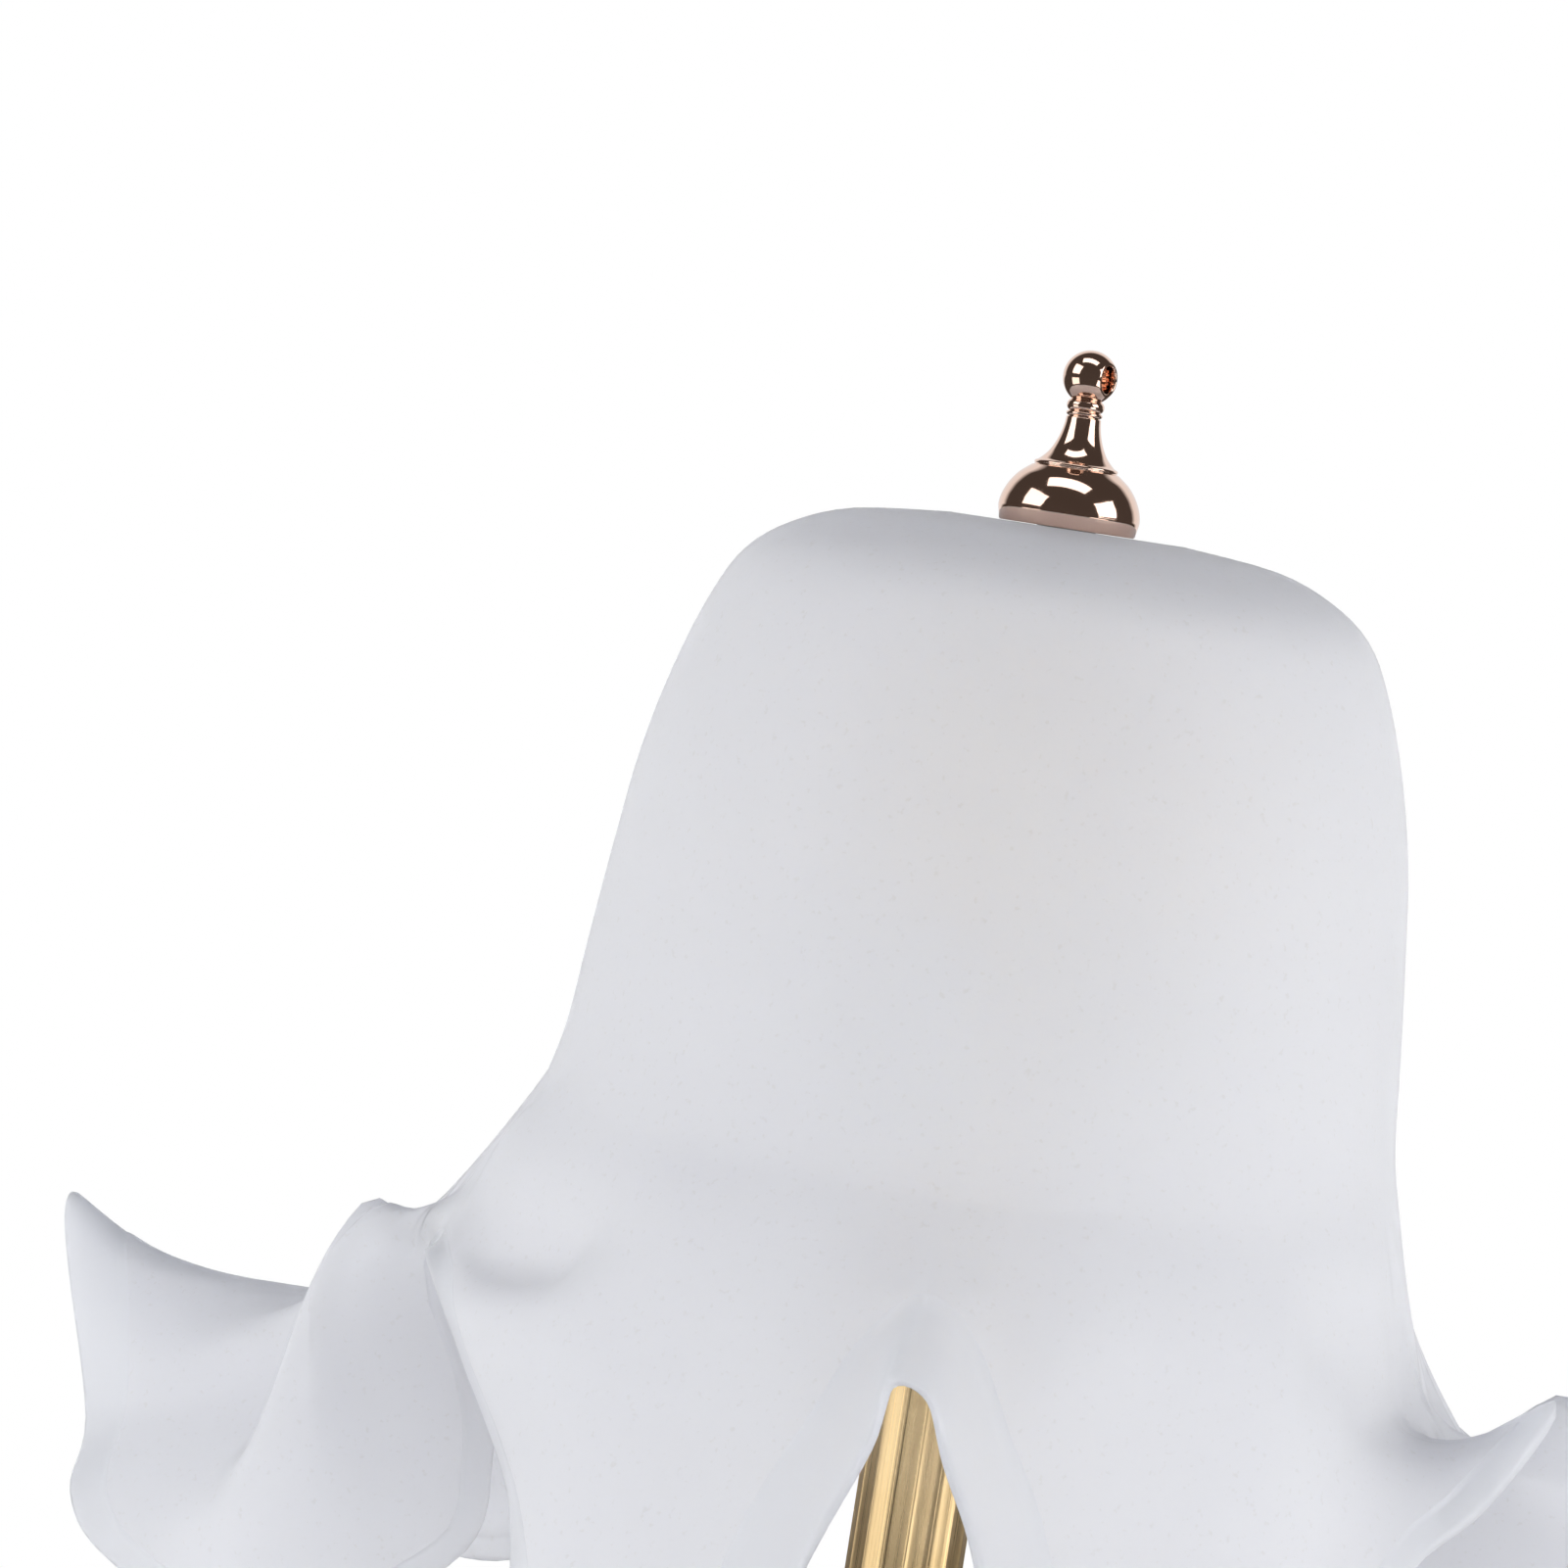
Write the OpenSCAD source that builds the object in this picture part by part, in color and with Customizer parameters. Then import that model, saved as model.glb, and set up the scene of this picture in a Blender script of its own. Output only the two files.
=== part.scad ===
/* [Overall] */
// Height of the top face of the glass above the table
glass_top_h = 420; // [360:5:480]

/* [Glass shade] */
// Thickness of the glass
glass_t = 4.5; // [3.5:0.25:5.5]
// Radius of the hole in the top of the glass
glass_hole_r = 7; // [6.5:0.25:8.5]
// Radius of the bell at its waist, which sizes the whole glass
bell_r = 73.5; // [66:0.5:80]
// Turn of the petals about the stem, so that a notch comes to the front
petal_turn = -3; // [-20:1:20]

/* [Finial] */
// Radius of the finial at its foot
finial_r = 12.1; // [11.5:0.1:14]
// Height of the finial from its foot to the top of its ball
finial_h = 30; // [28:0.5:34]
// Radius of the ball
finial_ball_r = 4.6; // [4.2:0.1:5]
// Radius of the eye through the ball
eye_r = 2.3; // [1.8:0.1:2.6]
// Turn of the eye away from the front
eye_turn = 60; // [0:5:90]
// Depth of the threaded bore in the finial
finial_bore_h = 8.4; // [7.6:0.2:9]
// Room between the rod's end and the bottom of that bore
finial_end_gap = 1.8; // [1:0.2:2.4]

/* [Stem rod] */
// Radius of the threaded rod
rod_r = 5; // [4.5:0.1:5.5]
// Radius of the wire way in the rod
rod_bore_r = 3.5; // [3:0.1:4]
// Running clearance between the rod and what turns on it
thread_gap = 0.05; // [0.02:0.01:0.1]
// Clearance between the rod and what it only passes through
pass_gap = 0.3; // [0.2:0.05:0.6]

// Gap between a piece and the seat of a piece that moves
seat_gap = 0.3; // [0.2:0.05:0.4]

/* [Nuts] */
// Height of the hexagon nuts
nut_h = 4; // [3:0.5:5]
// Width of the hexagon nuts across their corners
nut_w = 18; // [16:0.5:20]
// Thickness of the rod washer
washer_t = 1; // [0.8:0.1:1.5]
// Radius of the rod washer
washer_r = 11.5; // [11:0.5:12.5]
// Spare length where a rod, nipple or bush ends beside its nut
nipple_end = 0.5; // [0.3:0.1:1]

/* [Column] */
// Radius over the ridges of the fluted column
column_r = 10; // [9:0.5:12]
// Wall left at the bottom of a flute
column_wall = 1.1; // [0.8:0.1:1.6]
// Depth of a flute
flute_depth = 0.8; // [0.4:0.1:1.2]
// Number of flutes round the column
flutes = 16; // [10:1:24]
// Height of the cap on top of the column
column_cap_h = 8; // [6:0.5:12]
// Radius of the column cap
column_cap_r = 12; // [11.5:0.5:14]

/* [Washers and gaskets] */
// Thickness of the clear gaskets on both faces of the glass
gasket_t = 1; // [0.8:0.1:2]
// Radius of the lower gasket
lower_gasket_r = 20; // [16:0.5:24]
// Radius of the upper gasket, under the finial
upper_gasket_r = 9.5; // [9:0.25:10.5]
// Thickness of the brass rest plate under the glass
rest_plate_t = 2; // [1.5:0.5:3]
// Radius of the rest plate
rest_plate_r = 22; // [18:0.5:26]
// Gap between the rest plate's collar and the hole in the glass
collar_gap = 0.7; // [0.4:0.1:1]

/* [Lamp cluster] */
// Distance of each lampholder from the stem
lamp_reach = 30; // [26:1:34]
// Turn of the first lampholder from the front
lamp_turn = -16; // [-60:1:60]
// Distance from the glass top down to the top of the lampholder cups
cup_drop = 28; // [24:1:36]
// Radius of a lampholder cup
cup_r = 11; // [10:0.5:13]
// Length of a lampholder cup
cup_h = 38; // [34:1:44]
// Wall of a lampholder cup
cup_wall = 1; // [0.8:0.1:1.5]
// Radius of a cluster arm
arm_r = 4; // [3:0.5:5]
// Height of an arm's underside over the lampholder cups
arm_clear = 2; // [1:0.5:4]
// Radius of the cluster hub
hub_r = 13; // [12:0.5:16]
// Height of the cluster hub
hub_h = 12; // [10:1:14]
// Radius of the threaded nipple in the top of a cup
nipple_r = 3; // [2.5:0.25:3.5]
// Height of a ceramic lamp socket
socket_h = 24; // [20:1:28]

/* [Bulbs] */
// Radius of a capsule bulb
bulb_r = 8; // [6.5:0.25:8.5]
// Length of the bulb below its socket
bulb_h = 46; // [40:1:50]
// Length of the bulb pins
pin_h = 12; // [10:1:15]
// Distance between the two pins
pin_pitch = 9; // [8:0.5:10]
// Radius of a pin
pin_r = 0.8; // [0.5:0.1:1]
// Radius of the bulb's neck
bulb_neck_r = 6; // [5:0.25:6.25]

/* [Base] */
// Radius of the base cover
base_r = 82.5; // [75:0.5:95]
// Height of the cover's flat ring above the table
base_ring_h = 17; // [16:0.5:22]
// Height of the cover at the column foot
base_top_h = 26; // [24:0.5:34]
// Radius of the raised middle of the cover
base_dome_r = 38; // [34:1:44]
// Wall of the spun cover
cover_wall = 1.5; // [1:0.1:2]
// Thickness of the felt pad
pad_t = 2; // [1.5:0.5:4]
// Thickness of the cast iron weight
weight_t = 9; // [8:0.5:11]
// Rounding of the cover's edges
base_round = 3; // [2:0.5:5]

// Radius of the pocket for the rod nut
nut_pocket_r = 13; // [12.8:0.1:14]
// Width of the wire channels in the weight
channel_w = 9.4; // [9:0.2:11]

/* [Column foot] */
// Radius of the column foot at the cover
foot_r = 20; // [17:0.5:24]
// Height of the column foot
foot_h = 18; // [14:1:24]
// Height of the seat for the column inside the foot
foot_seat_h = 6; // [4:0.5:8]
// Wall of the foot round the column
foot_wall = 2.2; // [1.5:0.1:3]

/* [Dimmer] */
// Distance of the dimmer shaft from the edge of the base
dimmer_inset = 24.5; // [21:0.5:27]
// Radius of the dimmer knob
knob_r = 9; // [7.5:0.5:10]
// Height of the dimmer knob
knob_h = 13; // [11:0.5:18]
// Height of the dimmer body
dimmer_body_h = 8; // [6:0.5:9]
// Radius of the threaded neck round the dimmer shaft
dimmer_neck_r = 4.5; // [4.25:0.25:5]
// Height of the threaded neck over the cover
dimmer_neck_h = 3; // [2:0.5:4]
// Width of the dimmer nut across its corners
dimmer_nut_w = 12; // [11:0.5:13]
// Thickness of the dimmer nut
dimmer_nut_h = 2; // [1.5:0.5:3]
// Gap between the knob and the cover
knob_gap = 0.8; // [0.5:0.1:1.5]
// Radius of the dimmer shaft
shaft_r = 3; // [2.5:0.25:3.5]
// Radius of the dimmer body under the cover
dimmer_body_r = 8; // [7:0.5:10]
// Grooves round the knob
knob_grooves = 24; // [12:1:36]

/* [Cable inlet] */
// Radius of the hole in the inlet bush
inlet_r = 3; // [2.5:0.25:3.5]
// Radius of the inlet bush's neck
bush_r = 4.2; // [3.8:0.1:4.6]
// Radius of the bush flange
bush_flange_r = 5.4; // [5:0.1:5.8]
// Thickness of the bush flange
bush_flange_t = 1.5; // [1:0.25:2]
// Length of the bush inside the cover
bush_neck_h = 6; // [5:0.5:8]

/* [Hidden] */

EPS = 0.01;
FINE = 96;
SMALL = 48;

// Three lampholders share the cluster, each in its own node
LAMPS = 3;

// Heights of the stack under the glass, from the top down
glass_in_h = glass_top_h - glass_t;
rest_top_h = glass_in_h - seat_gap - gasket_t;
rest_bottom_h = rest_top_h - rest_plate_t;
cup_top_h = glass_top_h - cup_drop;
arm_h = cup_top_h + arm_r + arm_clear;
hub_bottom_h = arm_h - hub_h / 2;
hub_top_h = arm_h + hub_h / 2;
column_top_h = hub_bottom_h - column_cap_h / 2;
column_in_r = column_r - flute_depth - column_wall;
cup_in_r = cup_r - cup_wall;
socket_top_h = cup_top_h - cup_wall - nut_h - 2 * seat_gap - nipple_end;
socket_bottom_h = socket_top_h - socket_h;
bulb_top_h = socket_bottom_h - seat_gap;

// Heights in the base, from the table up
weight_top_h = pad_t + weight_t;
nut_pocket_h = nut_h + washer_t + nipple_end;
rod_bottom_h = pad_t + nipple_end;
rod_nut_h = rod_bottom_h;
column_bottom_h = base_top_h + foot_seat_h;
cover_in_r = base_r - cover_wall;
dimmer_reach = base_r - dimmer_inset;
inlet_h = pad_t + bush_flange_r + nipple_end;
dimmer_top_h = base_ring_h - cover_wall;

// The finial stands a hair above the glass, on a gasket sunk in its foot
finial_foot_h = glass_top_h + 1.3 * seat_gap;
gasket_foot_h = glass_top_h + seat_gap;
rod_top_h = finial_foot_h + finial_bore_h - finial_end_gap;
ball_h = finial_h - finial_ball_r;

/* Profile of the bell from the hole to the waist, as [radius, drop below the top] */
BELL = [
    [20, 0], [36, 1.8], [46, 5.6], [53, 11], [57.5, 19], [62, 32],
    [65.5, 47], [67.5, 62], [69.5, 80], [71.5, 95], [73.5, 104]
];
BELL_FLAT_R = 14;
bell_scale = bell_r / BELL[len(BELL) - 1][0];

/* Each petal is a row of stations, one every few degrees. A station is a line down the glass from the
   bell to the rim through five points, each as [turn from the front, radius, drop]. */
FRONT_LEFT = [
    [[0, 79, 111], [0, 84.5, 114.5], [0, 89, 118.5], [0, 93.5, 123.5], [0, 98, 128.6]],
    [[-3.5, 79, 112], [-3.5, 85, 117.5], [-3.2, 89, 124], [-2.8, 93, 131], [-2.4, 97.5, 139.5]],
    [[-9, 79, 113], [-8.5, 85, 121], [-7.5, 90, 132], [-6.8, 95, 145], [-6.2, 98, 158.6]],
    [[-15, 79, 114], [-14, 84, 124], [-12, 90, 140], [-10.5, 97, 160], [-9, 104, 182]],
    [[-22, 79, 115], [-21, 84, 127], [-20, 90, 147], [-18.5, 99, 173], [-17, 112, 203]],
    [[-30, 79, 115], [-30, 84, 128], [-29.5, 90, 148], [-28.5, 96, 172], [-28, 104, 198]],
    [[-38, 77.5, 113], [-39, 80.5, 122], [-39, 87, 138], [-38.5, 90, 160], [-38, 92, 184]],
    [[-46, 77, 116], [-47, 79.5, 127], [-48, 86.5, 134], [-48, 88, 150], [-47.5, 84, 167]],
    [[-55, 77.5, 117], [-57, 80.5, 128.5], [-58.5, 87, 132], [-59, 88, 139], [-59, 87, 147]],
    [[-63.5, 78.5, 117], [-64.5, 82, 126.5], [-65.5, 87, 130], [-66, 88.5, 133], [-66, 89.5, 136]]
];
FRONT_RIGHT = [
    [[-288, 76, 113], [-288, 80.5, 125], [-288, 86, 133], [-288, 94, 135.6], [-288, 106, 132.5]],
    [[-293, 76, 112], [-293.5, 80.5, 123], [-293.5, 86, 131.5], [-294, 93, 136], [-294, 101, 143]],
    [[-299, 76, 112], [-300, 80, 123], [-300, 85, 132], [-300.5, 91, 142], [-300.5, 96, 154]],
    [[-307, 76, 111], [-308, 79.5, 121], [-309, 86, 131], [-309.5, 91, 150], [-310, 97, 170]],
    [[-315, 77, 112], [-316.5, 83, 123], [-317.5, 89, 139], [-318, 94, 161], [-319, 102, 186]],
    [[-323, 79, 115], [-325, 84, 127], [-326, 90, 146], [-327, 97, 171], [-328, 108, 198]],
    [[-331, 79, 115], [-333, 84, 127], [-334.5, 90, 147], [-336, 99, 173], [-338, 113, 204]],
    [[-339.5, 79, 114], [-342, 84.5, 124], [-344, 90, 140], [-346, 97, 160], [-347, 104, 180]],
    [[-348, 79, 113], [-349, 85, 121], [-349.5, 90, 131], [-350, 94, 142], [-350, 98, 155]],
    [[-354, 79, 112], [-354, 85, 116.5], [-354, 89, 122.5], [-354, 93, 130.5], [-354, 97.5, 140]],
    [[-357.6, 79, 111], [-357.6, 84.7, 115], [-357.6, 89, 119.5], [-357.6, 93.3, 124.8], [-357.6, 98, 130]]
];
// From a notch to the middle of a raised petal: lip, hanging lobe, groove and tip
RAISED = [
    [[0, 79, 114], [0, 83, 121.5], [0, 86.5, 126], [0, 90, 128.5], [0, 94, 129]],
    [[-3, 79.5, 115], [-3.5, 84, 123], [-4.5, 87, 128], [-5.5, 85, 134], [-6.5, 82, 142]],
    [[-6, 80.5, 117], [-7, 86, 126], [-8, 91, 130], [-9, 87, 145], [-12, 76, 158]],
    [[-10, 83, 121], [-10, 88, 129.5], [-10, 95, 130.5], [-11, 98, 151], [-15, 71, 173]],
    [[-13, 84.5, 123.5], [-12, 90, 131], [-12, 99, 130.8], [-12.5, 106, 154], [-15, 73, 190]],
    [[-16, 85, 124.5], [-14, 91, 131.5], [-13.5, 100, 131.4], [-13, 108, 157], [-14, 97, 206]],
    [[-19, 86, 125.5], [-17, 93, 133], [-16, 102, 133.5], [-16, 111.5, 160], [-16, 121, 209]],
    [[-22, 87, 127], [-21.5, 95, 139], [-22, 102, 146], [-24, 107, 166], [-20, 134, 208]],
    [[-26, 88, 129], [-26, 101, 146], [-26, 112, 154], [-26.5, 125, 175], [-23.5, 152, 198]],
    [[-30, 88, 131], [-30, 106, 152], [-29.5, 123, 160], [-29, 141, 173], [-29, 160, 185]],
    [[-33, 89, 133], [-33, 112, 154], [-33, 131, 160], [-33, 152, 165], [-33, 171, 166]],
    [[-36, 89, 133], [-36, 115, 154], [-36, 136, 158.5], [-36, 158, 157], [-36, 177, 151]]
];
RAISED_RIGHT = [
    [[-3, 76.5, 114], [-3.5, 81, 126], [-4.5, 86, 133], [-5.5, 90, 137], [-6.5, 88, 143]],
    [[-6, 78, 117], [-7, 84, 129], [-8, 90, 136], [-9, 92, 145], [-12, 80, 160]],
    [[-10, 78.5, 122], [-10, 86, 135], [-10, 95, 136], [-11, 101, 148], [-15, 73, 175]],
    [[-13, 79.5, 125], [-12, 88, 138], [-12, 99, 135], [-12.5, 108, 152], [-15, 73, 190]],
    [[-16, 80.5, 128], [-14, 90, 140], [-13.5, 102, 133.5], [-13.5, 112, 155], [-14, 97, 206]],
    [[-19, 82, 130], [-17, 93, 140], [-16, 104, 136], [-16, 114, 160], [-16, 121, 209]],
    [[-22, 82, 130], [-21.5, 95, 142], [-22, 104, 146], [-24, 108, 166], [-20, 134, 208]],
    [[-26, 83, 131], [-26, 100, 147], [-26, 112, 154], [-26.5, 125, 175], [-23.5, 152, 198]],
    [[-30, 85, 132], [-30, 105, 152], [-29.5, 123, 160], [-29, 141, 173], [-29, 160, 185]]
];

function spline(a, b, c, d, f) =
    0.5 * (2 * b + (c - a) * f + (2 * a - 5 * b + 4 * c - d) * f * f + (3 * b - a - 3 * c + d) * f * f * f);
function on_turn(turn, r, drop) = [r * sin(turn), -r * cos(turn), -drop];

// Five petals, a step apart. The two at the front are given in full, the three others are raised ones
// of one pattern.
PETALS = 5;
petal_step = 360 / PETALS;
function turned_by(row, turn) = [for (p = row) [turn + p[0], p[1], p[2]]];
function flipped(row, turn) = [for (p = row) [turn - petal_step - p[0], p[1], p[2]]];
function raised_petal(turn, near) = concat(
    [for (row = RAISED) turned_by(row, turn)],
    [for (i = [len(RAISED) - 2 : -1 : 1]) flipped(i <= len(near) ? near[i - 1] : RAISED[i], turn)]);
NEAR_LEFT = [for (i = [1 : 9]) RAISED[i]];
STATIONS = concat(
    FRONT_LEFT,
    raised_petal(-petal_step, NEAR_LEFT),
    raised_petal(-2 * petal_step, NEAR_LEFT),
    raised_petal(-3 * petal_step, RAISED_RIGHT),
    FRONT_RIGHT);

// Rings of the mesh on the bell and on the flare
BELL_RINGS = 8;
FLARE_STEPS = 2;

// Turn of a station where it leaves the bell
function bell_turn(i) = STATIONS[i][0][0];

// Point on the bell profile at s from 0 to 1
function bell_at(s) =
    let (n = len(BELL) - 1, i = min(floor(s * n), n - 1), f = s * n - i)
    spline(BELL[max(i - 1, 0)], BELL[i], BELL[i + 1], BELL[min(i + 2, n)], f);

// One meridian of the outer face, from the hole to the rim
function meridian(i) =
    let (turn = bell_turn(i))
    let (waist = BELL[len(BELL) - 1], before = BELL[len(BELL) - 2])
    let (line = concat(
        [on_turn(turn, before[0], before[1]), on_turn(turn, waist[0], waist[1])],
        [for (p = STATIONS[i]) on_turn(p[0], p[1], p[2])]))
    let (last = len(line) - 1)
    concat(
        [on_turn(turn, glass_hole_r / bell_scale, 0), on_turn(turn, BELL_FLAT_R, 0)],
        [for (j = [0 : BELL_RINGS]) let (p = bell_at(j / BELL_RINGS)) on_turn(turn, p[0], p[1])],
        [for (j = [1 : last - 1], k = [1 : FLARE_STEPS])
            spline(line[j - 1], line[j], line[j + 1], line[min(j + 2, last)], k / FLARE_STEPS)]);

// Inner face: the outer one moved along its own normal by the glass thickness
function inward(grid, i, j) =
    let (n = len(grid), m = len(grid[0]))
    let (round_it = grid[(i + 1) % n][j] - grid[(i + n - 1) % n][j])
    let (down_it = grid[i][min(j + 1, m - 1)] - grid[i][max(j - 1, 0)])
    let (normal = cross(down_it, round_it))
    j < 3 ? [0, 0, -1] : normal / norm(normal);

module shade() {
    grid = [for (i = [0 : len(STATIONS) - 1]) [for (p = meridian(i)) bell_scale * p]];
    n = len(grid);
    m = len(grid[0]);
    inner = [for (i = [0 : n - 1]) [for (j = [0 : m - 1]) grid[i][j] + glass_t * inward(grid, i, j)]];
    points = concat([for (row = grid) each row], [for (row = inner) each row]);
    half = n * m;
    skin = [for (i = [0 : n - 1]) for (j = [0 : m - 2])
        let (a = i * m + j, b = ((i + 1) % n) * m + j)
        each [[a, b, a + 1], [b, b + 1, a + 1],
              [half + a, half + a + 1, half + b], [half + b, half + a + 1, half + b + 1]]];
    edges = [for (i = [0 : n - 1])
        let (a = i * m, b = ((i + 1) % n) * m, c = a + m - 1, d = b + m - 1)
        each [[a, half + a, b], [b, half + a, half + b], [c, d, half + c], [d, half + d, half + c]]];
    color([0.9, 0.91, 0.94])
    translate([0, 0, glass_top_h])
    rotate([0, 0, petal_turn])
    polyhedron(points, concat(skin, edges), convexity = 10);
}

BRASS = [0.86, 0.68, 0.36];
ROSE = [0.88, 0.62, 0.5];
STEEL = [0.72, 0.73, 0.75];
CERAMIC = [0.93, 0.92, 0.88];
DARK = [0.16, 0.15, 0.15];

// A round ring standing at a height
module ring(outer_r, hole_r, h, at_h) {
    translate([0, 0, at_h])
    difference() {
        cylinder(h = h, r = outer_r, $fn = FINE);
        translate([0, 0, -EPS]) cylinder(h = h + 2 * EPS, r = hole_r, $fn = SMALL);
    }
}

// A hexagon nut standing at a height
module hex_nut(width, hole_r, h, at_h) {
    translate([0, 0, at_h])
    difference() {
        cylinder(h = h, d = width, $fn = 6);
        translate([0, 0, -EPS]) cylinder(h = h + 2 * EPS, r = hole_r, $fn = SMALL);
    }
}

// A smooth line through knots, with a few steps between two of them
function smooth(knots, steps) = concat(
    [for (i = [0 : len(knots) - 2]) for (k = [0 : steps - 1])
        spline(knots[max(i - 1, 0)], knots[i], knots[i + 1], knots[min(i + 2, len(knots) - 1)], k / steps)],
    [knots[len(knots) - 1]]);

// Half section of a disc with a rounded upper edge
module rounded_half(r, bottom_h, top_h, edge_r) {
    translate([0, bottom_h]) square([r - edge_r, top_h - bottom_h]);
    translate([0, bottom_h]) square([r, top_h - edge_r - bottom_h]);
    translate([r - edge_r, top_h - edge_r]) circle(r = edge_r, $fn = SMALL);
}

// Half section of the base: a flat ring with a raised middle, drawn in by a wall
module base_half(wall, bottom_h) {
    dome_round = base_top_h - base_ring_h - 2;
    intersection() {
        union() {
            rounded_half(base_r - wall, bottom_h, base_ring_h - wall, base_round - wall / 2);
            rounded_half(base_dome_r - wall, bottom_h, base_top_h - wall, dome_round - wall / 2);
        }
        translate([0, bottom_h]) square([base_r, base_top_h]);
    }
}

module at_dimmer() {
    translate([0, -dimmer_reach, 0]) children();
}

module at_inlet() {
    translate([0, base_r, inlet_h]) rotate([90, 0, 0]) children();
}

module at_lamp(i) {
    rotate([0, 0, lamp_turn + i * 360 / LAMPS]) translate([0, -lamp_reach, 0]) children();
}

// Felt disc that covers the weight and its pockets
module base_pad() {
    color(DARK) cylinder(h = pad_t, r = base_r - base_round, $fn = FINE);
}

// Cast disc with a pocket for the rod nut, one for the dimmer and channels for the wires
module base_weight() {
    weight_r = cover_in_r - pass_gap;
    channel_h = inlet_h + bush_r + pass_gap - pad_t;
    color(DARK)
    difference() {
        translate([0, 0, pad_t]) cylinder(h = weight_t, r = weight_r, $fn = FINE);
        translate([0, 0, pad_t - EPS]) cylinder(h = weight_t + 2 * EPS, r = rod_r + pass_gap, $fn = SMALL);
        translate([0, 0, pad_t - EPS]) cylinder(h = nut_pocket_h + EPS, r = nut_pocket_r, $fn = FINE);
        at_dimmer() translate([0, 0, pad_t - EPS])
            cylinder(h = weight_t + 2 * EPS, r = dimmer_body_r + 1, $fn = FINE);
        translate([-channel_w / 2, weight_r - bush_neck_h - 4, pad_t - EPS])
            cube([channel_w, base_r, weight_t + 2 * EPS]);
        translate([-channel_w / 2, nut_pocket_r - 2, pad_t - EPS])
            cube([channel_w, base_r, channel_h / 2]);
        translate([-channel_w / 2, -dimmer_reach, pad_t - EPS])
            cube([channel_w, dimmer_reach - nut_pocket_r + 2, channel_h / 2]);
    }
}

module base_cover() {
    color(BRASS)
    difference() {
        rotate_extrude($fn = FINE)
            difference() {
                base_half(0, pad_t);
                base_half(cover_wall, pad_t - EPS);
            }
        translate([0, 0, pad_t]) cylinder(h = base_top_h, r = rod_r + pass_gap, $fn = SMALL);
        at_dimmer() translate([0, 0, pad_t]) cylinder(h = base_top_h, r = dimmer_neck_r + pass_gap, $fn = SMALL);
        at_inlet() translate([0, 0, -EPS]) cylinder(h = 2 * cover_wall, r = bush_r, $fn = SMALL);
    }
}

module rod_nut() {
    color(STEEL) hex_nut(nut_w, rod_r + thread_gap, nut_h, rod_nut_h);
}

module rod_washer() {
    color(STEEL) ring(washer_r, rod_r + pass_gap, washer_t, rod_nut_h + nut_h);
}

module threaded_rod() {
    color(STEEL) ring(rod_r, rod_bore_r, rod_top_h - rod_bottom_h, rod_bottom_h);
}

// Two insulated wires up the rod to the cluster
module stem_wires() {
    wire_r = rod_bore_r * 0.4;
    color(DARK)
    for (side = [-1, 1])
        translate([side * (wire_r + EPS * 5), 0, rod_bottom_h + 1])
            cylinder(h = arm_h - rod_bottom_h - 1, r = wire_r, $fn = SMALL);
}

// Turned foot: a flange, a cove and a collar round the column
module column_foot() {
    collar_r = column_r + foot_wall;
    flange_h = foot_h / 6;
    bead_r = foot_h / 12;
    color(BRASS)
    translate([0, 0, base_top_h])
    difference() {
        union() {
            rotate_extrude($fn = FINE)
                polygon(concat([[0, 0], [foot_r, 0], [foot_r, flange_h]],
                    smooth([[foot_r - 1, flange_h], [collar_r + 2, foot_h * 0.3],
                            [collar_r + 0.4, foot_h * 0.55], [collar_r, foot_h * 0.75]], 5),
                    [[collar_r, foot_h], [0, foot_h]]));
            rotate_extrude($fn = FINE) translate([collar_r, foot_h - bead_r]) circle(r = bead_r, $fn = SMALL);
        }
        translate([0, 0, -EPS]) cylinder(h = foot_h, r = rod_r + pass_gap, $fn = SMALL);
        translate([0, 0, foot_seat_h]) cylinder(h = foot_h, r = column_r + thread_gap, $fn = FINE);
    }
}

module column() {
    flute_r = PI * column_r / flutes * 0.8;
    color(BRASS)
    translate([0, 0, column_bottom_h])
    linear_extrude(column_top_h - column_bottom_h)
    difference() {
        circle(r = column_r, $fn = FINE);
        circle(r = column_in_r, $fn = FINE);
        for (i = [0 : flutes - 1])
            rotate(i * 360 / flutes) translate([column_r - flute_depth + flute_r, 0]) circle(r = flute_r, $fn = SMALL);
    }
}

module column_cap() {
    seat_h = column_cap_h / 2;
    color(BRASS)
    translate([0, 0, hub_bottom_h - column_cap_h])
    difference() {
        cylinder(h = column_cap_h, r = column_cap_r, $fn = FINE);
        translate([0, 0, -EPS]) cylinder(h = column_cap_h + 2 * EPS, r = rod_r + pass_gap, $fn = SMALL);
        translate([0, 0, -EPS]) cylinder(h = seat_h + EPS, r = column_r + thread_gap, $fn = FINE);
    }
}

// Hub with an arm to each lampholder: out, round the elbow and down into the cup
module cluster_body() {
    color(BRASS)
    difference() {
        union() {
            translate([0, 0, hub_bottom_h]) cylinder(h = hub_h, r = hub_r, $fn = FINE);
            for (i = [0 : LAMPS - 1]) at_lamp(i) {
                translate([0, 0, arm_h]) rotate([-90, 0, 0]) cylinder(h = lamp_reach - rod_r - 2, r = arm_r, $fn = SMALL);
                translate([0, 0, arm_h]) sphere(r = arm_r, $fn = SMALL);
                translate([0, 0, cup_top_h]) cylinder(h = arm_h - cup_top_h, r = arm_r, $fn = SMALL);
                translate([0, 0, cup_top_h - cup_wall - nut_h - nipple_end])
                    cylinder(h = cup_wall + nut_h + nipple_end + EPS, r = nipple_r, $fn = SMALL);
            }
        }
        translate([0, 0, hub_bottom_h - EPS]) cylinder(h = hub_h + 2 * EPS, r = rod_r + pass_gap, $fn = SMALL);
    }
}

module cluster_nut() {
    color(STEEL) hex_nut(nut_w, rod_r + thread_gap, nut_h, hub_top_h);
}

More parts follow.
